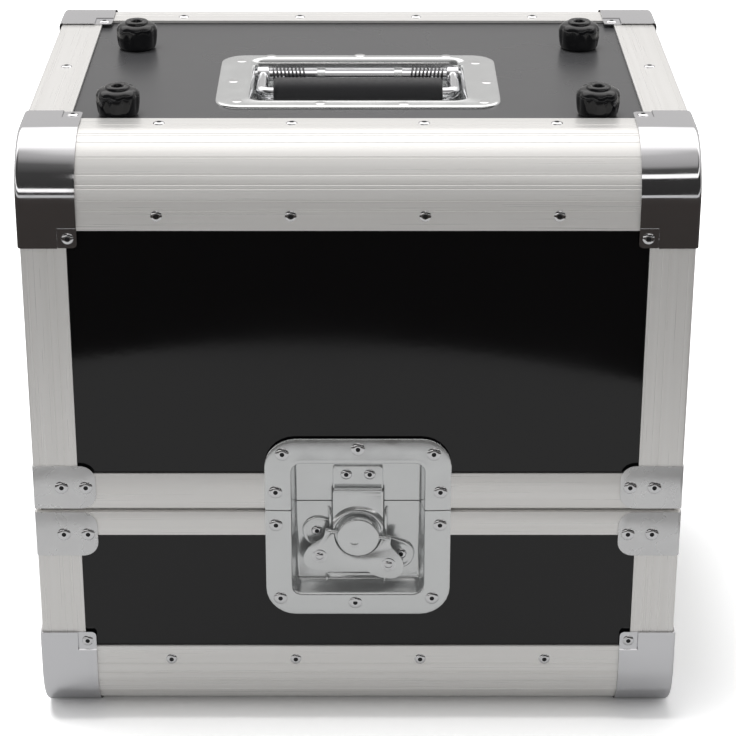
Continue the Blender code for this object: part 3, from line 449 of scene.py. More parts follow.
def rivetMesh(head, height):
    hole = rivetSetup["hole"]
    floor = height - rivetSetup["holeDepth"]
    bm = bmesh.new()
    profile = [
        (0, floor), (hole, floor), (hole, height * 0.96), (hole + 0.25 * mm, height),
        (head * 0.62, height * 0.90), (head * 0.84, height * 0.60), (head * 0.97, height * 0.22),
        (head, -0.1 * mm),
    ]
    lathe(bm, profile, rivetSetup["steps"])
    # the floor of each rivet's hole is painted near black: painted shade in the hole
    for face in bm.faces:
        reach = max(Vector((vert.co.x, vert.co.y)).length for vert in face.verts)
        flat = max(vert.co.z for vert in face.verts) < floor + 0.05 * mm
        face.material_index = 1 if flat and reach < hole * 1.01 else 0
    mesh = bpy.data.meshes.new("rivet")
    bm.to_mesh(mesh)
    bm.free()
    return mesh


rivetMeshes = {
    "profile": rivetMesh(rivetSetup["profileHead"], rivetSetup["height"]),
    "plate": rivetMesh(rivetSetup["plateHead"], rivetSetup["height"]), "dome": domeMesh(),
}
rivetPlaces = {}  # group name: (kind, face, point on the surface)


def rivetAt(group, kind, face, at):
    rivetPlaces.setdefault(group, []).append((kind, face, Vector(at)))


def addRivets(group, body):
    bm = bmesh.new()
    for kind, face, at in rivetPlaces[group]:
        known = len(bm.verts)
        bm.from_mesh(rivetMeshes[kind])
        bm.verts.ensure_lookup_table()
        standOn(bm, face, at, bm.verts[known:])
    bm.normal_update()
    mesh = bpy.data.meshes.new(group)
    bmesh.ops.recalc_face_normals(bm, faces=bm.faces)
    outsideSum = 0.0
    for face in bm.faces:
        outsideSum += face.normal.dot(face.calc_center_median() - Vector((0, 0, splitZ)))
    if outsideSum < 0:
        bmesh.ops.reverse_faces(bm, faces=bm.faces)
    bm.to_mesh(mesh)
    bm.free()
    mesh.materials.append(materials["rivet"])
    mesh.materials.append(materials["paintedShadeBlack"])
    mesh.shade_smooth()
    mesh.set_sharp_from_angle(angle=math.radians(50))
    piece = bpy.data.objects.new(group, mesh)
    bpy.context.scene.collection.objects.link(piece)
    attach(piece, body)


# Rounded edge profiles

profileSetup = {
    "radius": 32 * mm,
    "leg": 47.3 * mm,
    "skin": 1.6 * mm,
    "bendSteps": 30,
    "flutes": (-7, 3, 14.5, 18.5, 28, 45, 62, 71.5, 75.5, 87, 97),  # degrees round the bend
    "fluteWidth": 1.0 * mm,
    "fluteDepth": 0.16 * mm,
    "seatInset": 9.2 * mm,
    "web": 1.5 * mm,
    "lip": 10 * mm,
    "rivetX": (35.75 * mm, 107.25 * mm),
    "rivetReach": 39 * mm,
}


def addRoundProfile(prefix, side, end, body):
    name = f"{prefix}_{side}_round_profile"
    radius, leg = profileSetup["radius"], profileSetup["leg"]
    bm = bmesh.new()
    lines = addPath(bm, ((0, 0, leg), (0, 0, 0), (0, leg, 0)))[1]
    growEdges(bm, lines, (2 * sideX, 0, 0))
    bend = [edge for edge in bm.edges if all(vert.co.yz.length < 1e-7 for vert in edge.verts)]
    roundOff(bm, bend, radius, profileSetup["bendSteps"])
    half = profileSetup["fluteWidth"] / radius / 2
    centre = (0, radius, radius)
    fluted = [math.radians(angle) for angle in profileSetup["flutes"]]
    for angle in fluted:
        for turn in (angle - half, angle + half):
            cutAt(bm, centre, (0, math.sin(turn), -math.cos(turn)), snap=0.08 * mm)
    faceOut(bm, (0, -1, -1))
    sunk = []
    for face in bm.faces:
        middle = face.calc_center_median()
        angle = math.atan2(radius - middle.z, radius - middle.y)
        if any(abs(angle - flute) < half for flute in fluted):
            sunk.append(face)
    bmesh.ops.inset_region(
        bm, faces=sunk, thickness=0.2 * mm, depth=-profileSetup["fluteDepth"], use_boundary=False
    )
    matrix = cornerMatrix(1, side, end)
    bmesh.ops.transform(bm, matrix=matrix, verts=bm.verts)
    outside = outwardOf(0, side, end)
    addPiece(
        name + "_skin", bm, ["aluminiumX"], body, [name], outside,
        wall=profileSetup["skin"], sharp=24,
    )
    # the two seats inside, which hold the panel and the wall
    web, lip, inset = profileSetup["web"], profileSetup["lip"], profileSetup["seatInset"]
    bm = bmesh.new()
    start = radius - 0.3 * mm - web
    for flip in (False, True):
        outline = [(start, 0.8 * mm), (start, inset + web / 2), (radius + lip, inset + web / 2)]
        if flip:
            outline = [(up, across) for across, up in outline]
        lines = addPath(bm, [(inset, *place) for place in outline])[1]
        growEdges(bm, lines, (2 * (sideX - inset), 0, 0))
    bmesh.ops.transform(bm, matrix=matrix, verts=bm.verts)
    addPiece(
        name + "_seats", bm, ["aluminiumX"], body, (), -outside, wall=web * 0.7
    )
    group = f"{prefix}_profile_rivets"
    reach = profileSetup["rivetReach"]
    for across in profileSetup["rivetX"]:
        for sign in (-1, 1):
            rivetAt(group, "profile", side, matrix @ Vector((sideX - sign * across, 0, reach)))
            rivetAt(group, "profile", end, matrix @ Vector((sideX - sign * across, reach, 0)))


# Angles over the straight edges, and upright angles over the corners

angleSetup = {
    "leg": 24.7 * mm, "skin": 1.6 * mm, "bend": 1.3 * mm,
    "grooves": (3.6 * mm, 14.0 * mm, 17.8 * mm, 23.2 * mm), "grooveWidth": 0.7 * mm,
    "grooveDepth": 0.10 * mm, "gap": 0.3 * mm,
}


def addAngle(name, length, matrix, outside, finish, body):  # legs along x and y, length along z
    leg = angleSetup["leg"]
    bm = bmesh.new()
    lines = addPath(bm, [(*place, length[0]) for place in ((leg, 0), (0, 0), (0, leg))])[1]
    growEdges(bm, lines, (0, 0, length[1] - length[0]))
    bend = [edge for edge in bm.edges if all(vert.co.xy.length < 1e-7 for vert in edge.verts)]
    roundOff(bm, bend, angleSetup["bend"], 4)
    half = angleSetup["grooveWidth"] / 2
    for reach in angleSetup["grooves"]:
        for cut in (reach - half, reach + half):
            cutAt(bm, (cut, 0, 0), (1, 0, 0))
            cutAt(bm, (0, cut, 0), (0, 1, 0))
    faceOut(bm, (-1, -1, 0))
    sunk = []
    for face in bm.faces:
        middle = face.calc_center_median()
        reach = max(middle.x, middle.y)
        if any(abs(reach - groove) < half for groove in angleSetup["grooves"]):
            sunk.append(face)
    bmesh.ops.inset_region(
        bm, faces=sunk, thickness=0.2 * mm, depth=-angleSetup["grooveDepth"], use_boundary=False,
        use_even_offset=True,
    )
    bmesh.ops.transform(bm, matrix=matrix, verts=bm.verts)
    addPiece(
        name + "_angle", bm, [finish], body, [name], outside,
        wall=angleSetup["skin"], sharp=24,
    )


def addEdgeAngle(prefix, sign, hand, end, body):
    reach = profileSetup["leg"] + angleSetup["gap"]
    planeZ, towardsZ = (baseZ, 1) if end == "bottom" else (topZ, -1)
    matrix = Matrix(
        ((-sign, 0, 0, sign * sideX), (0, 0, 1, 0), (0, towardsZ, 0, planeZ), (0, 0, 0, 1))
    )
    outside = Vector((sign, 0, -towardsZ))
    length = (frontY + reach, backY - reach)
    addAngle(f"{prefix}_{hand}_edge_angle", length, matrix, outside, "aluminiumY", body)
    group = f"{prefix}_profile_rivets"
    half = angleSetup["leg"] / 2
    middle = (frontY + backY) / 2
    rivetAt(group, "profile", end, (sign * (sideX - half), middle, planeZ))
    rivetAt(group, "profile", hand, (sign * sideX, middle, planeZ + towardsZ * half))


def uprightMatrix(sign, side):  # local x and y run inward from the corner's faces
    planeY, towardsY = (frontY, 1) if side == "front" else (backY, -1)
    rows = ((-sign, 0, 0, sign * sideX), (0, towardsY, 0, planeY), (0, 0, 1, 0), (0, 0, 0, 1))
    return Matrix(rows), Vector((sign, -towardsY, 0))


def addUpright(prefix, sign, hand, side, end, body):
    name = f"{prefix}_{side}_{hand}_upright"
    low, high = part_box(name)
    matrix, outside = uprightMatrix(sign, side)
    addAngle(name, (low.z, high.z), matrix, outside, "aluminiumZ", body)


# Corner covers, pressed from one sheet with a sunk tab for the rivet on each leg

coverSetup = {
    "radius": 32 * mm, "leg": 57 * mm, "width": 32 * mm, "clip": 25 * mm, "proud": 1.3 * mm,
    "sheet": 0.55 * mm, "bend": 2.4 * mm, "tabWide": 10.5 * mm, "tabTall": 11.5 * mm,
    "tabSunk": 0.7 * mm, "tabCorner": 2.6 * mm,
}


def addCornerCover(prefix, sign, hand, side, end, body):
    name = f"{prefix}_{side}_{hand}_corner_cover"
    proud, leg, clip = coverSetup["proud"], coverSetup["leg"], coverSetup["clip"]
    inner = coverSetup["width"] - proud
    bm = bmesh.new()
    outline = (
        (-proud, leg), (-proud, -proud), (leg, -proud), (leg, leg - clip), (leg - clip, leg),
    )
    points = [bm.verts.new((-proud, *place)) for place in outline]
    bm.faces.new(points)
    roundOff(bm, [points[1]], coverSetup["radius"] + proud, 24, "VERTICES")
    growFaces(bm, (coverSetup["width"], 0, 0))
    bmesh.ops.recalc_face_normals(bm, faces=bm.faces)
    bm.normal_update()
    away = [
        face
        for face in bm.faces
        if face.normal.x > 0.5 or face.normal.y > 0.3 or face.normal.z > 0.3
    ]
    bmesh.ops.delete(bm, geom=away, context="FACES")
    bend = [
        edge
        for edge in bm.edges
        if len(edge.link_faces) == 2
        and all(abs(vert.co.x + proud) < 1e-6 for vert in edge.verts)
    ]
    roundOff(bm, bend, coverSetup["bend"], 4)
    for height, across in ((leg, -proud), (-proud, leg)):
        tip = [
            vert for vert in bm.verts if (vert.co - Vector((inner, across, height))).length < 1e-6
        ]
        roundOff(bm, tip, coverSetup["tabCorner"], 4, "VERTICES")
    faceOut(bm, (-1, -1, -1))
    tabX = inner - coverSetup["tabWide"]
    tabReach = leg - coverSetup["tabTall"]
    for axis, normal in ((1, (0, 0, 1)), (2, (0, 1, 0))):
        other = 3 - axis
        flat = [face for face in bm.faces if face.normal[axis] < -0.999]
        cutAt(bm, (tabX, 0, 0), (1, 0, 0), flat)
        flat = [face for face in bm.faces if face.normal[axis] < -0.999]
        cut = [0, 0, 0]
        cut[other] = tabReach
        cutAt(bm, cut, normal, flat)
        tab = [
            face
            for face in bm.faces
            if face.normal[axis] < -0.999
            and face.calc_center_median().x > tabX
            and face.calc_center_median()[other] > tabReach
        ]
        bmesh.ops.inset_region(
            bm, faces=tab, thickness=0.45 * mm, depth=-coverSetup["tabSunk"], use_boundary=False,
            use_even_offset=True,
        )
    matrix = cornerMatrix(sign, side, end)
    bmesh.ops.transform(bm, matrix=matrix, verts=bm.verts)
    addPiece(
        name + "_pressed", bm, ["chrome"], body, [name],
        outwardOf(sign, side, end), wall=coverSetup["sheet"], sharp=28,
    )
    group = f"{prefix}_cover_rivets"
    height = proud - coverSetup["tabSunk"]
    across = inner - coverSetup["tabWide"] / 2 + 0.3 * mm
    reach = leg - coverSetup["tabTall"] / 2 + 0.3 * mm
    rivetAt(group, "profile", side, matrix @ Vector((across, -height, reach)))
    if end == "top":
        rivetAt(group, "profile", end, matrix @ Vector((across, reach, -height)))


# Brace corners beside the split

braceSetup = {
    "leg": 34.5 * mm, "proud": 0.65 * mm, "sideProud": 0.45 * mm, "bend": 1.8 * mm,
    "corner": 8.5 * mm, "sheet": 0.5 * mm, "softEdge": 0.12 * mm, "rivets": (15.5 * mm, 29.0 * mm),
}


def addBraceCorner(prefix, sign, hand, side, end, body):
    name = f"{prefix}_{side}_{hand}_brace_corner"
    low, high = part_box(name)
    leg, proud, sideProud = braceSetup["leg"], braceSetup["proud"], braceSetup["sideProud"]
    bm = bmesh.new()
    outline = ((leg, -proud), (-sideProud, -proud), (-sideProud, leg))
    lines = addPath(bm, [(*place, low.z) for place in outline])[1]
    growEdges(bm, lines, (0, 0, high.z - low.z))
    bend = [edge for edge in bm.edges if len(edge.link_faces) == 2]
    roundOff(bm, bend, braceSetup["bend"], 4)
    tips = [vert for vert in bm.verts if max(vert.co.x, vert.co.y) > leg - 1e-6]
    roundOff(bm, tips, braceSetup["corner"], 7, "VERTICES")
    matrix, outside = uprightMatrix(sign, side)
    bmesh.ops.transform(bm, matrix=matrix, verts=bm.verts)
    addPiece(
        name + "_plate", bm, ["plate"], body, [name], outside,
        wall=braceSetup["sheet"], edge=braceSetup["softEdge"], sharp=28,
    )
    middle = (low.z + high.z) / 2
    for reach in braceSetup["rivets"]:
        group = f"{prefix}_brace_rivets"
        rivetAt(group, "plate", side, matrix @ Vector((reach, -proud, middle)))
        rivetAt(group, "plate", hand, matrix @ Vector((-sideProud, reach, middle)))


for prefix, end, body in (("lower", "bottom", "base"), ("upper", "top", "cover")):
    for side in ("front", "back"):
        addRoundProfile(prefix, side, end, body)
    for sign, hand in ((-1, "left"), (1, "right")):
        addEdgeAngle(prefix, sign, hand, end, body)
        for side in ("front", "back"):
            addUpright(prefix, sign, hand, side, end, body)
            addCornerCover(prefix, sign, hand, side, end, body)
            addBraceCorner(prefix, sign, hand, side, end, body)
    softenedCopy(f"{prefix}_closure_rim", f"{prefix}_rim_frame", "aluminiumX", 0.35 * mm)
print("Profiles, covers and braces made")

# Latch, drawn as seen from the front with heights measured outward from the front plane

latchSetup = {
    "low": (-37.5 * mm, -53.0 * mm),
    "high": (37.5 * mm, 29.3 * mm),
    "borderLow": (14.5 * mm, 13.5 * mm),
    "borderHigh": (14.5 * mm, 14.8 * mm),
    "outerCorner": 17 * mm,
    "tubCorner": 6 * mm,
    "parting": 0.6 * mm,
    "sheet": 0.6 * mm,
    # share of the border, inset and height of each ring, from the outer edge in to the tub's floor
    "rings": (
        (1, 0.0, 0.02), (1, 0.12, 0.16), (1, 0.6, 0.28), (1, 2.4, 0.44), (1, 5.0, 0.62),
        (1, 8.0, 0.74), (0, -4.0, 0.82), (0, -2.2, 0.92), (0, -1.1, 0.98), (0, -0.4, 0.86),
        (0, 0.1, 0.40), (0, 0.4, -0.5), (0, 0.8, -2.0), (0, 2.0, -9.9), (0, 2.6, -11.2),
        (0, 3.8, -11.9),
    ),
    "shade": (-0.2 * mm, -11.3 * mm),
    "rivetHeight": 0.66 * mm,
    "upperRivets": ((-42.1, 35.0), (0, 38.1), (42.1, 35.0), (-46, 11.5), (46, 11.5)),
    "lowerRivets": ((-46, -9.1), (46, -9.1), (-44, -55.8), (-1.5, -58.6), (42, -55.8)),
}


def pressDish(bm, setup):
    rings = []
    for share, inset, height in setup["rings"]:
        lowEdge = zip(setup["low"], setup["borderLow"])
        highEdge = zip(setup["high"], setup["borderHigh"])
        low = [at - share * border + inset * mm for at, border in lowEdge]
        high = [at + share * border - inset * mm for at, border in highEdge]
        corner = (setup["outerCorner"] if share else setup["tubCorner"]) - inset * mm
        rings.append(addRing(bm, low, high, corner, height * mm))
    bridgeAll(bm, rings)
    bmesh.ops.edgeloop_fill(bm, edges=rings[-1])
    # faces between the shade heights, the tub's inner walls, get the darker zinc: painted shade in
    # the recess
    for face in bm.faces:
        if setup["shade"][1] < face.calc_center_median().z < setup["shade"][0]:
            face.material_index = 1


def addLatchDish(prefix, direction, body):
    bm = bmesh.new()
    pressDish(bm, latchSetup)
    parting = (0, direction * latchSetup["parting"] / 2, 0)
    cutAt(bm, parting, (0, -direction, 0), away=True)
    standOn(bm, "front", (0, frontY, splitZ))
    name = f"{prefix}_latch_dish"
    sheet = latchSetup["sheet"]
    finishes = ["zinc", "zincPaintedShade"]
    addPiece(
        name + "_pressed", bm, finishes, body, [name], (0, -1, 0), wall=sheet,
        sharp=40,
    )
    height = latchSetup["rivetHeight"]
    for across, up in latchSetup[prefix + "Rivets"]:
        at = (across * mm, frontY - height, splitZ + up * mm)
        rivetAt(f"{prefix}_latch_rivets", "plate", "front", at)


def ringPlate(bm, low, high, corner, heights):  # a flat plate with a rounded rim, from rings
    rings = [
        addRing(
            bm,
            (low[0] + inset * mm, low[1] + inset * mm),
            (high[0] - inset * mm, high[1] - inset * mm),
            corner - inset * mm,
            height * mm,
        )
        for inset, height in heights
    ]
    bridgeAll(bm, rings)
    return bmesh.ops.edgeloop_fill(bm, edges=rings[-1])["faces"]


mechanismSetup = {
    "half": (33.0 * mm, 9.4 * mm),
    "centre": (0.3 * mm, -26.3 * mm),
    "turn": -18.2,
    "heights": (
        (0, -11.95), (0.2, -11.2), (0.9, -10.85), (1.8, -10.95), (2.4, -11.2), (3.6, -11.25),
    ),
    "guideX": (15.0 * mm, 16.2 * mm),
    "guideY": (-19.5 * mm, -5.0 * mm),
    "guideHeights": (-12.0 * mm, -8.4 * mm),
    "tab": ((-17.2 * mm, -49.6 * mm, -12.0 * mm), (14.8 * mm, -45.9 * mm, -11.2 * mm)),
    "tickX": (-17.6 * mm, 15.2 * mm),
    "tickHalf": 0.45 * mm,
    "tickEnds": ((-51.3 * mm, -12 * mm), (-47.4 * mm, -8.6 * mm)),
    "rivetDepth": 11.2 * mm,
    "rivets": ((-23.2, -18.8), (24.4, -33.6)),
}


def addMechanism():
    bm = bmesh.new()
    half = mechanismSetup["half"]
    ringPlate(bm, (-half[0], -half[1]), half, half[1] - 0.2 * mm, mechanismSetup["heights"])
    centre = Matrix.Translation((*mechanismSetup["centre"], 0))
    turn = Matrix.Rotation(math.radians(mechanismSetup["turn"]), 4, "Z")
    bmesh.ops.transform(bm, matrix=centre @ turn, verts=bm.verts)
    low, high = mechanismSetup["guideHeights"]
    # the guide blocks are painted near black: painted shade in the gaps beside the draw plate
    known = set(bm.faces)
    for sign in (-1, 1):
        sides = sorted(sign * reach for reach in mechanismSetup["guideX"])
        addBlock(
            bm, (sides[0], mechanismSetup["guideY"][0], low),
            (sides[1], mechanismSetup["guideY"][1], high), 0.25 * mm,
        )
    paintNew(bm, known, 1)
    addBlock(bm, *mechanismSetup["tab"], 0.3 * mm)
    for across in mechanismSetup["tickX"]:
        first, last = mechanismSetup["tickEnds"]
        reach = mechanismSetup["tickHalf"]
        addBlock(bm, (across - reach, *first), (across + reach, *last), 0.2 * mm)
    standOn(bm, "front", (0, frontY, splitZ))
    addPiece("latch_mechanism", bm, ["zinc", "paintedShadeBlack"], "base", sharp=40)
    for across, up in mechanismSetup["rivets"]:
        at = (across * mm, frontY + mechanismSetup["rivetDepth"], splitZ + up * mm)
        rivetAt("latch_mechanism_rivets", "profile", "front", at)


keeperSetup = {
    "low": (-14.0 * mm, 6.6 * mm), "high": (14.0 * mm, 22.6 * mm), "corner": 2.4 * mm,
    "heights": ((0, -11.9), (0, -11.1), (0.3, -10.85), (0.8, -10.8)),
    "slot": ((-13.4 * mm, 22.9 * mm, -12.2 * mm), (13.4 * mm, 24.2 * mm, -11.3 * mm)),
    "shadow": ((-13.2 * mm, 8.4 * mm, -10.9 * mm), (13.2 * mm, 10.6 * mm, -10.7 * mm)),
    "lip": (13.6 * mm, 7.4 * mm, -10.4 * mm, 0.8 * mm),  # half length, y, height and radius
    "rivets": ((-6.6, 17.0), (6.6, 17.0)), "rivetDepth": 10.8 * mm,
}


def addRoll(bm, half, centreY, centreHeight, radius, steps=12):  # a rolled edge along x
    ends = [bm.verts.new((side, centreY, centreHeight + radius)) for side in (-half, half)]
    line = bm.edges.new(ends)
    bmesh.ops.spin(
        bm, geom=ends + [line], cent=(0, centreY, centreHeight), axis=(1, 0, 0), angle=math.tau,
        steps=steps, use_merge=True,
    )
    bmesh.ops.holes_fill(bm, edges=[edge for edge in bm.edges if edge.is_boundary], sides=steps)


def addKeeper():
    bm = bmesh.new()
    addRoll(bm, *keeperSetup["lip"])
    ringPlate(
        bm, keeperSetup["low"], keeperSetup["high"], keeperSetup["corner"], keeperSetup["heights"]
    )
    # the slot and shadow strips are painted near black: painted shade of the gap above the keeper
    # and under its lip
    known = set(bm.faces)
    addBlock(bm, *keeperSetup["slot"])
    addBlock(bm, *keeperSetup["shadow"])
    paintNew(bm, known, 1)
    standOn(bm, "front", (0, frontY, splitZ))
    addPiece(
        "latch_keeper_plate", bm, ["zinc", "paintedShadeBlack"], "cover", ["latch_keeper"],
        sharp=40,
    )
    for across, up in keeperSetup["rivets"]:
        at = (across * mm, frontY + keeperSetup["rivetDepth"], splitZ + up * mm)
        rivetAt("latch_keeper_rivets", "profile", "front", at)


drawSetup = {
    "low": (-14.25 * mm, -24.0 * mm),
    "high": (14.25 * mm, 8.6 * mm),
    "corner": 2.0 * mm,
    "heights": ((0, -9.2), (0, -8.35), (0.25, -8.1), (0.7, -8.0)),
    "roll": (13.4 * mm, 8.2 * mm, -8.7 * mm, 1.3 * mm),  # as the keeper's lip
    "groove": ((-12.6 * mm, 5.0 * mm, -8.2 * mm), (12.6 * mm, 5.8 * mm, -7.96 * mm)),
    "bulgeFloor": 2.6 * mm,
    "bulgeHalf": 14.2 * mm,
    "bulgeSkirt": -8.6 * mm,
    # radius and height of the bulge over the cam
    "bulge": ((13.3, -8.5), (13.3, -6.9), (13.6, -6.4), (14.4, -6.3), (15.6, -7.0), (16.8, -8.1)),
}


def addDrawPlate():
    bm = bmesh.new()
    hubY = (hubLow.z + hubHigh.z) / 2 - splitZ
    lathe(bm, inMm(drawSetup["bulge"]), 48)
    cutAt(bm, (0, drawSetup["bulgeFloor"], 0), (0, -1, 0), away=True)
    for sign in (1, -1):
        cutAt(bm, (sign * drawSetup["bulgeHalf"], 0, 0), (sign, 0, 0), away=True)
    rim = [edge for edge in bm.edges if edge.is_boundary]
    for edge in growEdges(bm, rim, (0, 0, 0)):
        for vert in edge.verts:
            vert.co.z = drawSetup["bulgeSkirt"]
    bmesh.ops.translate(bm, vec=(0, hubY, 0), verts=bm.verts)
    ringPlate(bm, drawSetup["low"], drawSetup["high"], drawSetup["corner"], drawSetup["heights"])
    roll = bmesh.new()
    addRoll(roll, *drawSetup["roll"], 16)
    rolled = bpy.data.meshes.new("roll")
    roll.to_mesh(rolled)
    roll.free()
    bm.from_mesh(rolled)
    bpy.data.meshes.remove(rolled)
    # a thin strip in the darker zinc: painted shade of a groove across the plate
    known = set(bm.faces)
    addBlock(bm, *drawSetup["groove"])
    paintNew(bm, known, 1)
    standOn(bm, "front", (0, frontY, splitZ))
    addPiece(
        "latch_draw_hook", bm, ["zinc", "zincPaintedShade"], "draw",
        ["latch_draw_plate"], sharp=40,
    )


hubSetup = {
    "segments": 48,
    "turn": -8,
    # radius and height of each loop, from the neck out and over the rim
    "loops": (
        (2.0, -11.4), (2.0, -6.1), (11.3, -6.1), (11.8, -5.9), (12.0, -5.4), (12.0, -2.4),
        (11.85, -1.9), (11.4, -1.6), (10.6, -1.5),
    ),
    "dimple": ((3.3, -1.5), (3.0, -1.58), (2.2, -1.72), (1.0, -1.76)),
    "dimplePlace": (-1.7, -1.8),
    "washer": ((9.0, -7.2), (13.0, -7.2), (13.2, -7.4), (13.2, -7.9)),
    "axleHeight": -5.2 * mm,
    "axleHalf": 17.6 * mm,
    "axleRadius": 1.0 * mm,
}


def addLoop(bm, radius, height, place=(0, 0)):
    verts = bmesh.ops.create_circle(bm, segments=hubSetup["segments"], radius=radius * mm)["verts"]
    bmesh.ops.translate(bm, vec=(place[0] * mm, place[1] * mm, height * mm), verts=verts)
    return list({edge for vert in verts for edge in vert.link_edges})


def addBar(bm, centre, axis, radius, length, segments=24, edge=0):  # a round bar along x or y
    verts = bmesh.ops.create_cone(
        bm, cap_ends=True, segments=segments, radius1=radius, radius2=radius, depth=length
    )["verts"]
    turn = Matrix.Rotation(math.pi / 2, 4, "Y" if axis == "x" else "X")
    bmesh.ops.transform(bm, matrix=Matrix.Translation(centre) @ turn, verts=verts)
    if edge:
        rims = {line for vert in verts for line in vert.link_edges if len(line.link_faces) == 2}
        rims = [line for line in rims if line.calc_face_angle() > 1]
        roundOff(bm, rims, edge, 3)


def standOnHub(bm):  # the hub and its wing rest a little turned
    turn = Matrix.Rotation(math.radians(hubSetup["turn"]), 4, "Z")
    bmesh.ops.transform(bm, matrix=turn, verts=bm.verts)
    standOn(bm, "front", (0, frontY, (hubLow.z + hubHigh.z) / 2))


def addHub():
    bm = bmesh.new()
    loops = [addLoop(bm, *loop) for loop in hubSetup["loops"]]
    loops += [addLoop(bm, *loop, hubSetup["dimplePlace"]) for loop in hubSetup["dimple"]]
    rim = len(hubSetup["loops"]) - 1
    for at, (first, second) in enumerate(zip(loops, loops[1:])):
        if at == rim:
            bmesh.ops.triangle_fill(bm, edges=first + second, use_beauty=True)
        else:
            bmesh.ops.bridge_loops(bm, edges=first + second)
    bmesh.ops.edgeloop_fill(bm, edges=loops[0])
    bmesh.ops.edgeloop_fill(bm, edges=loops[-1])
    for face in bm.faces:
        middle = face.calc_center_median()
        if middle.z > -2.6 * mm and middle.xy.length < 11.0 * mm:
            face.material_index = 1 if middle.z > -1.52 * mm else 2
    # the washer under the hub is painted near black: painted shade in the gap between hub and wing
    known = set(bm.faces)
    lathe(bm, inMm(hubSetup["washer"]), hubSetup["segments"])
    paintNew(bm, known, 3)
    addBar(
        bm, (0, 0, hubSetup["axleHeight"]), "x", hubSetup["axleRadius"], 2 * hubSetup["axleHalf"],
        16,
    )
    standOnHub(bm)
    addPiece(
        "latch_hub_disc", bm, ["zinc", "hubFace", "hubDimple", "paintedShadeBlack"], "hub",
        ["latch_hub"], sharp=40,
    )


wingSetup = {
    # right half of the outline, mirrored for the left: x, y and the corner's rounding
    "outline": (
        (15.6, -0.9, 0.2), (15.6, 1.6, 0.5), (18.6, 1.6, 1.2), (19.0, -4.6, 2.5),
        (28.6, -12.6, 6.5), (28.6, -25.2, 9.0), (13.0, -25.2, 7.0), (9.0, -22.4, 3.0),
    ),
    "opening": 13.4 * mm,
    "thick": 1.3 * mm,
    "edge": 0.35 * mm,
    "rivets": ((-19.7 * mm, -16.2 * mm), (19.7 * mm, -16.2 * mm)),
    "face": -4.45 * mm,
    "dome": ((0, 0.75), (1.1, 0.68), (1.9, 0.42), (2.35, 0.05), (2.35, -0.3)),
    "ring": ((2.3, 0.06), (3.1, 0.05), (3.25, -0.3)),
    "lip": ((3.2, 0.0), (3.3, 0.14), (3.9, 0.16), (4.3, -0.1)),
}


def addWing():
    bm = bmesh.new()
    opening, thick = wingSetup["opening"], wingSetup["thick"]
    half = [(Vector((x * mm, y * mm, 0)), round * mm) for x, y, round in wingSetup["outline"]]
    mirrored = [(Vector((-at.x, at.y, 0)), round) for at, round in reversed(half)]
    corners = [(bm.verts.new(at), round) for at, round in half + mirrored]
    start = math.asin(half[0][0].y / half[0][0].length)
    arc = []
    for step in range(29):  # the opening round the hub, from the left horn back to the right one
        angle = math.pi - start + (math.pi + 2 * start) * step / 28
        arc.append(bm.verts.new((opening * math.cos(angle), opening * math.sin(angle), 0)))
    bm.faces.new([vert for vert, _ in corners] + arc)
    for vert, rounding in corners:
        roundOff(bm, [vert], rounding * 0.8, 6, "VERTICES")
    growFaces(bm, (0, 0, thick))
    bmesh.ops.translate(bm, vec=(0, 0, wingSetup["face"] - thick), verts=bm.verts)
    standOnHub(bm)
    addPiece(
        "latch_wing_plate", bm, ["zinc"], "wing", ["latch_wing"],
        edge=wingSetup["edge"], sharp=40,
    )
    bm = bmesh.new()
    for across, up in wingSetup["rivets"]:
        # the ring round each dome is painted near black: painted shade in the groove round the
        # rivet
        for part in ("dome", "ring", "lip"):
            known = set(bm.faces)
            lathe(bm, inMm(wingSetup[part]), 24, (across, up))
            paintNew(bm, known, 1 if part == "ring" else 0)
    bmesh.ops.translate(bm, vec=(0, 0, wingSetup["face"]), verts=bm.verts)
    standOnHub(bm)
    addPiece(
        "latch_wing_rivets", bm, ["rivet", "paintedShadeBlack"], "wing", outside=(0, -1, 0),
        sharp=50,
    )


addLatchDish("lower", -1, "base")
addLatchDish("upper", 1, "cover")
addMechanism()
addKeeper()
addDrawPlate()
addHub()
addWing()
print("Latch made")

# Handle in its dish, with heights measured from the top panel

gripLow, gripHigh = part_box("handle_grip")
gripCentre = (gripLow + gripHigh) / 2

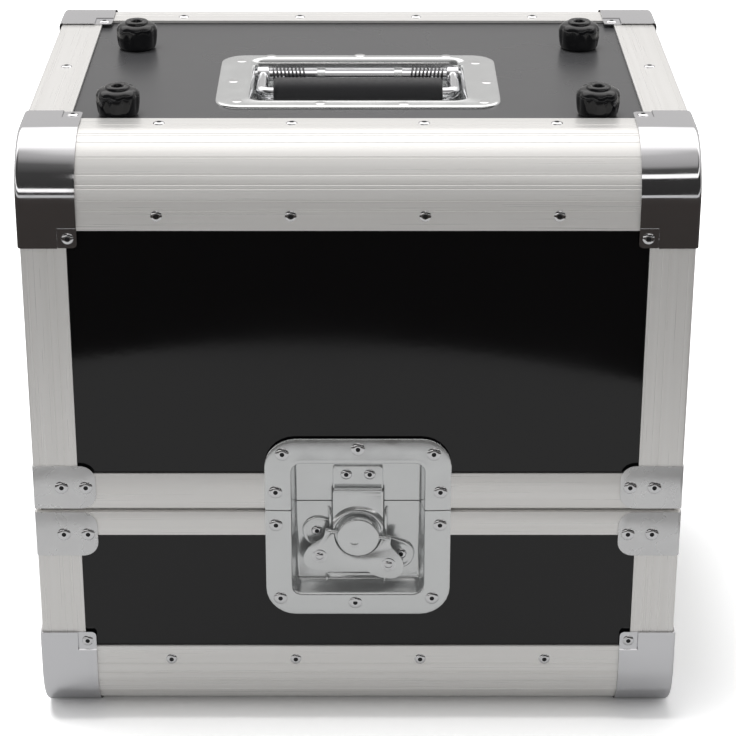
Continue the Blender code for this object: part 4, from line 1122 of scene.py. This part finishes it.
handleSetup = {
    "low": (-62 * mm, frontY + 80 * mm),
    "high": (62 * mm, frontY + 160.5 * mm),
    "borderLow": (17.5 * mm, 10.7 * mm),
    "borderHigh": (17.5 * mm, 7.5 * mm),
    "outerCorner": 14 * mm,
    "tubCorner": 9 * mm,
    "sheet": 0.8 * mm,
    "rings": (
        (1, 0.0, 0.05), (1, 0.12, 0.75), (1, 0.6, 1.20), (1, 1.8, 1.42), (1, 4.0, 1.50),
        (0, -2.4, 1.50), (0, -1.7, 1.66), (0, -0.8, 1.70), (0, 0.0, 1.45), (0, 0.9, 0.80),
        (0, 1.7, -0.30), (0, 2.3, -1.9), (0, 2.6, -3.8), (0, 2.7, -6.0), (0, 2.8, -14.5),
        (0, 3.4, -16.6), (0, 5.2, -17.8),
    ),
    "shade": (-3.0 * mm, -17.0 * mm),
    "rivets": (
        (-50.7, 164.7), (1.1, 166.3), (51.5, 164.7), (-20.8, 75.4), (25.4, 74.6), (-67.6, 155.3),
        (-70.7, 115.8), (-67.1, 79.2), (68.2, 151.4), (72.9, 113.9), (69.8, 77.7),
    ),
    "rodY": frontY + 152 * mm,
    "rodZ": gripCentre.z,
    "rodRadius": 3.0 * mm,
    "rodHalf": 62.4 * mm,
    "armSide": 55 * mm,
    "armRadius": 3.5 * mm,
    "armBend": 5.5 * mm,
    "eyeRadius": 5.2 * mm,
    "eyeWidth": 7 * mm,
    "clipX": (-21.4 * mm, 23.4 * mm),
    "clipWidth": 4.6 * mm,
    "springStart": (31.1 * mm, 49.3 * mm),
    "springRadius": 3.95 * mm,
    "springWire": 0.5 * mm,
    "springTurns": 8.25,
}


def addHandleDish():
    bm = bmesh.new()
    pressDish(bm, handleSetup)
    standOn(bm, "top", (0, 0, panelTopZ))
    addPiece(
        "handle_dish_pressed", bm, ["zinc", "zincPaintedShade"], "cover", ["handle_dish"],
        (0, 0, 1), wall=handleSetup["sheet"], sharp=40,
    )
    for across, reach in handleSetup["rivets"]:
        at = (across * mm, frontY + reach * mm, panelTopZ + 1.42 * mm)
        rivetAt("handle_dish_rivets", "dome", "top", at)
    rodY, rodZ = handleSetup["rodY"], handleSetup["rodZ"]
    bm = bmesh.new()
    for sign in (-1, 1):  # washers round the rod's holes
        loops = []
        for radius, depth in ((3.3, 60.7), (3.3, 59.7), (6.0, 59.7), (6.6, 60.1), (6.6, 61.4)):
            loop = addLoop(bm, radius, 0)
            verts = list({vert for edge in loop for vert in edge.verts})
            place = Matrix.Translation((sign * depth * mm, rodY, rodZ))
            turn = Matrix.Rotation(math.pi / 2, 4, "Y")
            bmesh.ops.transform(bm, matrix=place @ turn, verts=verts)
            loops.append(loop)
        bridgeAll(bm, loops)
    half = handleSetup["clipWidth"] / 2
    for across in handleSetup["clipX"]:  # clips over the rod, from the dish's back wall
        ends = [bm.verts.new((across + side, rodY - 3.4 * mm, rodZ)) for side in (-half, half)]
        line = bm.edges.new(ends)
        bmesh.ops.spin(
            bm, geom=ends + [line], cent=(0, rodY, rodZ), axis=(1, 0, 0), angle=-math.radians(140),
            steps=10,
        )
        addBlock(
            bm, (across - half, rodY + 2.1 * mm, rodZ + 2.3 * mm),
            (across + half, rodY + 8.2 * mm, rodZ + 3.2 * mm),
        )
    addPiece("handle_rod_clips", bm, ["zinc"], "cover", wall=0.5 * mm, sharp=40)


def turnRing(bm, ring, centre, angle, steps):
    verts = list({vert for edge in ring for vert in edge.verts})
    last = bmesh.ops.spin(
        bm, geom=verts + ring, cent=centre, axis=(0, 0, 1), angle=angle, steps=steps
    )["geom_last"]
    return [part for part in last if isinstance(part, bmesh.types.BMEdge)]


def addBail():
    rodY, rodZ = handleSetup["rodY"], handleSetup["rodZ"]
    side, bend = handleSetup["armSide"], handleSetup["armBend"]
    bm = bmesh.new()
    verts = bmesh.ops.create_circle(bm, segments=20, radius=handleSetup["armRadius"])["verts"]
    turn = Matrix.Translation((-side, rodY, rodZ)) @ Matrix.Rotation(math.pi / 2, 4, "X")
    bmesh.ops.transform(bm, matrix=turn, verts=verts)
    ring = bm.edges[:]
    straight = rodY - gripCentre.y - bend
    ring = growEdges(bm, ring, (0, -straight, 0))
    ring = turnRing(bm, ring, (-side + bend, gripCentre.y + bend, rodZ), math.pi / 2, 8)
    ring = growEdges(bm, ring, (2 * (side - bend), 0, 0))
    ring = turnRing(bm, ring, (side - bend, gripCentre.y + bend, rodZ), math.pi / 2, 8)
    growEdges(bm, ring, (0, straight, 0))
    for sign in (-1, 1):
        addBar(
            bm, (sign * side, rodY, rodZ), "x", handleSetup["eyeRadius"], handleSetup["eyeWidth"],
            28, 0.7 * mm,
        )
    # the rod takes the dark steel: painted dark reflection of the grip and tub on the chrome rod
    known = set(bm.faces)
    addBar(
        bm, (0, rodY, rodZ), "x", handleSetup["rodRadius"], 2 * handleSetup["rodHalf"], 24,
        0.3 * mm,
    )
    paintNew(bm, known, 1)
    finishes = ["chrome", "springSteelAndRodShade"]
    addPiece("handle_bail_bar", bm, finishes, "handle", ["handle_bail"], sharp=40)


gripSetup = {
    "half": 48 * mm,
    # radius and distance from the end, mirrored to the other end
    "profile": (
        (3.9, 1.5), (3.9, 0.3), (4.4, 0.0), (7.4, 0.0), (8.3, 0.5), (8.85, 1.5), (9.0, 3.2),
    ),
}


def addGrip():
    bm = bmesh.new()
    half = gripSetup["half"]
    one = [(radius * mm, half - inset * mm) for radius, inset in gripSetup["profile"]]
    lathe(bm, one + [(radius, -height) for radius, height in reversed(one)], 40)
    turn = Matrix.Translation(gripCentre) @ Matrix.Rotation(math.pi / 2, 4, "Y")
    bmesh.ops.transform(bm, matrix=turn, verts=bm.verts)
    addPiece(
        "handle_grip_sleeve", bm, ["gripRubber"], "handle", ["handle_grip"],
        sharp=40,
    )


def addSprings():
    rodY, rodZ = handleSetup["rodY"], handleSetup["rodZ"]
    start, end = handleSetup["springStart"]
    turns = handleSetup["springTurns"]
    steps = round(turns * 20)
    radius = handleSetup["springRadius"]
    for sign, hand in ((-1, "left"), (1, "right")):
        bm = bmesh.new()
        verts = bmesh.ops.create_circle(bm, segments=8, radius=handleSetup["springWire"])["verts"]
        bmesh.ops.translate(bm, vec=(sign * start, rodY - radius, rodZ), verts=verts)
        ring = bm.edges[:]
        growEdges(bm, ring, (0, 0, -10.4 * mm))
        bmesh.ops.spin(
            bm, geom=verts + ring, cent=(sign * start, rodY, rodZ), axis=(1, 0, 0),
            dvec=(sign * (end - start) / steps, 0, 0), angle=-math.tau * turns, steps=steps,
        )
        addPiece(
            f"handle_{hand}_coil", bm, ["springSteelAndRodShade"], "cover",
            [f"handle_{hand}_spring"], sharp=60,
        )


addHandleDish()
addBail()
addGrip()
addSprings()
print("Handle made")

# Rubber feet: a fluted barrel with a raised ring round its screw well

footSetup = {
    "steps": 64,
    "profile": (
        (9.6, 0.0), (10.5, 0.5), (11.2, 2.0), (11.6, 4.4), (11.9, 7.2), (12.0, 10.2), (11.8, 12.2),
        (11.1, 13.6), (9.8, 14.5), (8.2, 14.8), (7.2, 15.0), (6.9, 15.9), (6.4, 16.4), (5.0, 16.5),
        (3.6, 16.3), (3.0, 15.7), (2.9, 9.5), (0.0, 9.5),
    ),
    "flutes": 8,
    "fluteDepth": 0.085,
    "fluteLow": 2.0 * mm,
    "fluteHigh": 14.6 * mm,
    "screw": ((0, 1.3), (1.3, 1.2), (2.1, 0.8), (2.4, 0.0)),
}


def addFeet():
    screws = bmesh.new()
    for side in ("front", "back"):
        for hand in ("left", "right"):
            name = f"{side}_{hand}_foot"
            low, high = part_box(name)
            at = Vector(((low.x + high.x) / 2, (low.y + high.y) / 2, panelTopZ + 0.1 * mm))
            bm = bmesh.new()
            lathe(bm, inMm(footSetup["profile"]), footSetup["steps"])
            lowest, highest = footSetup["fluteLow"], footSetup["fluteHigh"]
            for vert in bm.verts:  # scalloped flutes, deepest at the barrel's middle
                share = (vert.co.z - lowest) / (highest - lowest)
                if 0 < share < 1 and vert.co.xy.length > 6 * mm:
                    angle = math.atan2(vert.co.y, vert.co.x) * footSetup["flutes"]
                    sink = max(0.0, math.cos(angle)) ** 2 * math.sin(share * math.pi) ** 0.5
                    vert.co.x *= 1 - footSetup["fluteDepth"] * sink
                    vert.co.y *= 1 - footSetup["fluteDepth"] * sink
            turn = Matrix.Translation(at) @ Matrix.Rotation(math.radians(22), 4, "Z")
            bmesh.ops.transform(bm, matrix=turn, verts=bm.verts)
            addPiece(name + "_barrel", bm, ["rubber"], "cover", [name], sharp=50)
            seat = at.z + footSetup["profile"][-1][1] * mm
            lathe(screws, [(a * mm, seat + h * mm) for a, h in footSetup["screw"]], 20, at.xy)
    addPiece(
        "foot_screws", screws, ["paintedShadeBlack"], "cover", outside=(0, 0, 1), sharp=50
    )


addFeet()
print("Feet made")

# Rear hinges with softened leaves, and rivets in them

hingeSetup = {
    "edge": 0.3 * mm, "rivetX": (-17 * mm, 17 * mm), "rivetDrop": (10 * mm, 21 * mm),
    "rivetSeat": 1.8 * mm,
}

for hand in ("left", "right"):
    for part, body, direction in (("lower", "base", -1), ("upper", "cover", 1)):
        node = f"{hand}_hinge_{part}_leaf"
        softenedCopy(node, f"{hand}_hinge_{part}_plate", "zinc", hingeSetup["edge"], 40)
        low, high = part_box(node)
        middle = (low.x + high.x) / 2
        for across in hingeSetup["rivetX"]:
            for drop in hingeSetup["rivetDrop"]:
                at = (middle + across, backY + hingeSetup["rivetSeat"], splitZ + direction * drop)
                rivetAt(f"{part}_hinge_rivets", "profile", "back", at)
print("Hinges made")

# Foam pads inside the closed ends: soft edges and an uneven face

padSetup = {"cell": 16 * mm, "edge": 1.2 * mm, "swell": 0.30 * mm, "scale": 38.0}


def addFoamPad(node, body):
    low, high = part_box(node)
    bm = bmesh.new()
    bm.from_mesh(frame["nodes"][node].data)
    bmesh.ops.remove_doubles(bm, verts=bm.verts, dist=0.01 * mm)
    bmesh.ops.dissolve_limit(bm, angle_limit=math.radians(1), verts=bm.verts[:], edges=bm.edges[:])
    for face in bm.faces:
        face.material_index = 0
    for axis in (0, 1):
        normal = [0, 0, 0]
        normal[axis] = 1
        cut = low[axis] + padSetup["edge"]
        while cut < high[axis]:
            at = [0, 0, 0]
            at[axis] = cut
            cutAt(bm, at, normal, snap=0.2 * mm)
            cut += padSetup["cell"]
    middle = (low.z + high.z) / 2
    free = middle > splitZ
    for vert in bm.verts:
        inward = vert.co.z < middle if free else vert.co.z > middle
        edgeGap = min(vert.co.x - low.x, high.x - vert.co.x, vert.co.y - low.y, high.y - vert.co.y)
        if inward and edgeGap > padSetup["edge"]:
            uneven = noise.noise(vert.co * padSetup["scale"])
            vert.co.z += (-1 if free else 1) * padSetup["swell"] * (uneven - 1.0)
    piece = addPiece(
        node + "_sheet", bm, ["foam"], body, [node], edge=padSetup["edge"] / 2
    )


addFoamPad("lower_foam_pad", "base")
addFoamPad("upper_foam_pad", "cover")
print("Foam pads made")

# Camera, lights and floor

cameraSetup = {"lens": 120.56, "tilt": 66.05, "shiftX": 0.0136, "back": 1.229, "height": 0.7694}


def addCamera():
    lens = bpy.data.cameras.new("photoCamera")
    lens.lens = cameraSetup["lens"]
    lens.sensor_width = 36
    lens.shift_x = cameraSetup["shiftX"]
    lens.clip_start = 0.05
    lens.clip_end = 60
    camera = bpy.data.objects.new("photoCamera", lens)
    camera.location = (0, frontY - cameraSetup["back"], cameraSetup["height"])
    camera.rotation_euler = (math.radians(cameraSetup["tilt"]), 0, 0)
    bpy.context.scene.collection.objects.link(camera)
    bpy.context.scene.camera = camera


lightSetup = {
    "sky": 0.66,
    "keyStrength": 1.6,
    "keyAngle": 22,
    "keyTurn": (9, 0, -112),
    # what metal mirrors above the horizon, by the height of the direction, in front and behind
    "frontSky": (
        (0.0, 0.03), (0.47, 0.035), (0.48, 1.3), (0.575, 1.3), (0.59, 0.06), (0.70, 0.08),
        (0.77, 0.36), (0.94, 0.52), (1.0, 0.9),
    ),
    "leftSky": (
        (0.0, 0.03), (0.05, 0.03), (0.06, 1.3), (0.16, 1.3), (0.17, 0.04), (0.60, 0.05),
        (0.80, 0.12), (0.94, 0.5), (1.0, 1.0),
    ),
    "backSky": ((0.0, 0.62), (0.45, 0.60), (0.56, 1.7), (1.0, 1.8)),
    "skyPeak": 2.0,
    "tableRadius": 500 * mm,
    "cardRadius": 2600 * mm,
    "tableCentre": (-45 * mm, -45 * mm),
}


def skyRamp(tree, levels):
    ramp = tree.nodes.new("ShaderNodeValToRGB")
    stops = ramp.color_ramp.elements
    while len(stops) < len(levels):
        stops.new(1.0)
    for stop, (height, grey) in zip(stops, levels):
        stop.position = height
        level = grey / lightSetup["skyPeak"]
        stop.color = (level, level * 0.985, level * 0.975, 1)
    return ramp


def addWorld():
    world = bpy.data.worlds.new("studio")
    bpy.context.scene.world = world
    world.use_nodes = True
    tree = world.node_tree
    tree.nodes.clear()
    link = tree.links.new
    output = tree.nodes.new("ShaderNodeOutputWorld")
    path = tree.nodes.new("ShaderNodeLightPath")
    lighting = tree.nodes.new("ShaderNodeBackground")
    lighting.inputs["Strength"].default_value = lightSetup["sky"]
    white = tree.nodes.new("ShaderNodeBackground")
    white.inputs["Color"].default_value = (1, 1, 1, 1)
    mirrored = tree.nodes.new("ShaderNodeBackground")
    mirrored.inputs["Strength"].default_value = lightSetup["skyPeak"]
    place = tree.nodes.new("ShaderNodeTexCoord")
    split = tree.nodes.new("ShaderNodeSeparateXYZ")
    front = skyRamp(tree, lightSetup["frontSky"])
    back = skyRamp(tree, lightSetup["backSky"])
    toFront = tree.nodes.new("ShaderNodeMapRange")
    toFront.interpolation_type = "SMOOTHSTEP"
    toFront.inputs["From Min"].default_value = -0.15
    toFront.inputs["From Max"].default_value = 0.20
    left = skyRamp(tree, lightSetup["leftSky"])
    toLeft = tree.nodes.new("ShaderNodeMapRange")
    toLeft.inputs["From Min"].default_value = -0.12
    toLeft.inputs["From Max"].default_value = -0.10
    sides = tree.nodes.new("ShaderNodeMix")
    sides.data_type = "RGBA"
    link(place.outputs["Generated"], split.inputs["Vector"])
    link(split.outputs["Z"], left.inputs["Fac"])
    link(split.outputs["X"], toLeft.inputs["Value"])
    link(toLeft.outputs["Result"], sides.inputs[0])
    link(left.outputs["Color"], sides.inputs[6])
    link(front.outputs["Color"], sides.inputs[7])
    blend = tree.nodes.new("ShaderNodeMix")
    blend.data_type = "RGBA"
    link(split.outputs["Z"], front.inputs["Fac"])
    link(split.outputs["Z"], back.inputs["Fac"])
    link(split.outputs["Y"], toFront.inputs["Value"])
    link(toFront.outputs["Result"], blend.inputs[0])
    link(sides.outputs[2], blend.inputs[6])
    link(back.outputs["Color"], blend.inputs[7])
    link(blend.outputs[2], mirrored.inputs["Color"])
    either = tree.nodes.new("ShaderNodeMath")
    either.operation = "MAXIMUM"
    link(path.outputs["Is Glossy Ray"], either.inputs[0])
    link(path.outputs["Is Transmission Ray"], either.inputs[1])
    first = tree.nodes.new("ShaderNodeMixShader")
    link(either.outputs["Value"], first.inputs["Fac"])
    link(lighting.outputs["Background"], first.inputs[1])
    link(mirrored.outputs["Background"], first.inputs[2])
    second = tree.nodes.new("ShaderNodeMixShader")
    link(path.outputs["Is Camera Ray"], second.inputs["Fac"])
    link(first.outputs["Shader"], second.inputs[1])
    link(white.outputs["Background"], second.inputs[2])
    link(second.outputs["Shader"], output.inputs["Surface"])


def addKey():
    light = bpy.data.lights.new("softKey", "SUN")
    light.energy = lightSetup["keyStrength"]
    light.angle = math.radians(lightSetup["keyAngle"])
    key = bpy.data.objects.new("softKey", light)
    key.rotation_euler = [math.radians(turn) for turn in lightSetup["keyTurn"]]
    key.visible_glossy = False
    bpy.context.scene.collection.objects.link(key)


def addFloor():  # plain and pale, and white to the camera where the case leaves no shadow
    made = newMaterial("paleFloor", (0.86, 0.86, 0.86), 0.9)
    shader = made.node_tree.nodes["Principled BSDF"]
    shader.inputs["Specular IOR Level"].default_value = 0.0
    path = addNode(made, "LightPath")
    paint = addNode(made, "Mix", data_type="RGBA")
    paint.inputs[6].default_value = (0.57, 0.57, 0.57, 1)
    paint.inputs[7].default_value = (1.5, 1.5, 1.5, 1)
    wire(made, path, "Is Camera Ray", paint, 0)
    made.node_tree.links.new(paint.outputs[2], shader.inputs["Base Color"])
    bm = bmesh.new()
    bmesh.ops.create_grid(bm, x_segments=1, y_segments=1, size=8)
    mesh = bpy.data.meshes.new("floor")
    bm.to_mesh(mesh)
    bm.free()
    mesh.materials.append(made)
    floor = bpy.data.objects.new("floor", mesh)
    floor.location = (0, 0, -0.0002)
    bpy.context.scene.collection.objects.link(floor)
    floor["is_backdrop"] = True


def addDarkCard():  # a dark sheet round the bright table, only for the metal to mirror
    made = newMaterial("darkCard", (0.016, 0.012, 0.010), 0.8)
    bm = bmesh.new()
    for radius in (lightSetup["tableRadius"], lightSetup["cardRadius"]):
        bmesh.ops.create_circle(bm, segments=96, radius=radius)
    bmesh.ops.bridge_loops(bm, edges=bm.edges[:])
    mesh = bpy.data.meshes.new("darkCard")
    bm.to_mesh(mesh)
    bm.free()
    mesh.materials.append(made)
    card = bpy.data.objects.new("darkCard", mesh)
    centreX, fromFront = lightSetup["tableCentre"]
    card.location = (centreX, frontY + fromFront, 0.001)
    card.visible_camera = False
    card.visible_diffuse = False
    card.visible_shadow = False
    bpy.context.scene.collection.objects.link(card)
    card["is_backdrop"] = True


for group, body, slot in (
    ("lower_profile_rivets", "base", "satin_aluminium"),
    ("upper_profile_rivets", "cover", "satin_aluminium"),
    ("lower_cover_rivets", "base", "bright_chrome"),
    ("upper_cover_rivets", "cover", "bright_chrome"),
    ("lower_brace_rivets", "base", "satin_aluminium"),
    ("upper_brace_rivets", "cover", "satin_aluminium"),
    ("lower_latch_rivets", "base", "zinc_plate"), ("upper_latch_rivets", "cover", "zinc_plate"),
    ("latch_mechanism_rivets", "base", "zinc_plate"),
    ("latch_keeper_rivets", "cover", "zinc_plate"), ("handle_dish_rivets", "cover", "zinc_plate"),
    ("lower_hinge_rivets", "base", "zinc_plate"), ("upper_hinge_rivets", "cover", "zinc_plate"),
):
    addRivets(group, body)
print("Rivets made")

addCamera()
addWorld()
addKey()
addFloor()
addDarkCard()
bpy.context.scene.view_settings.view_transform = "Standard"
print("Camera and studio ready")

low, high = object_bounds()
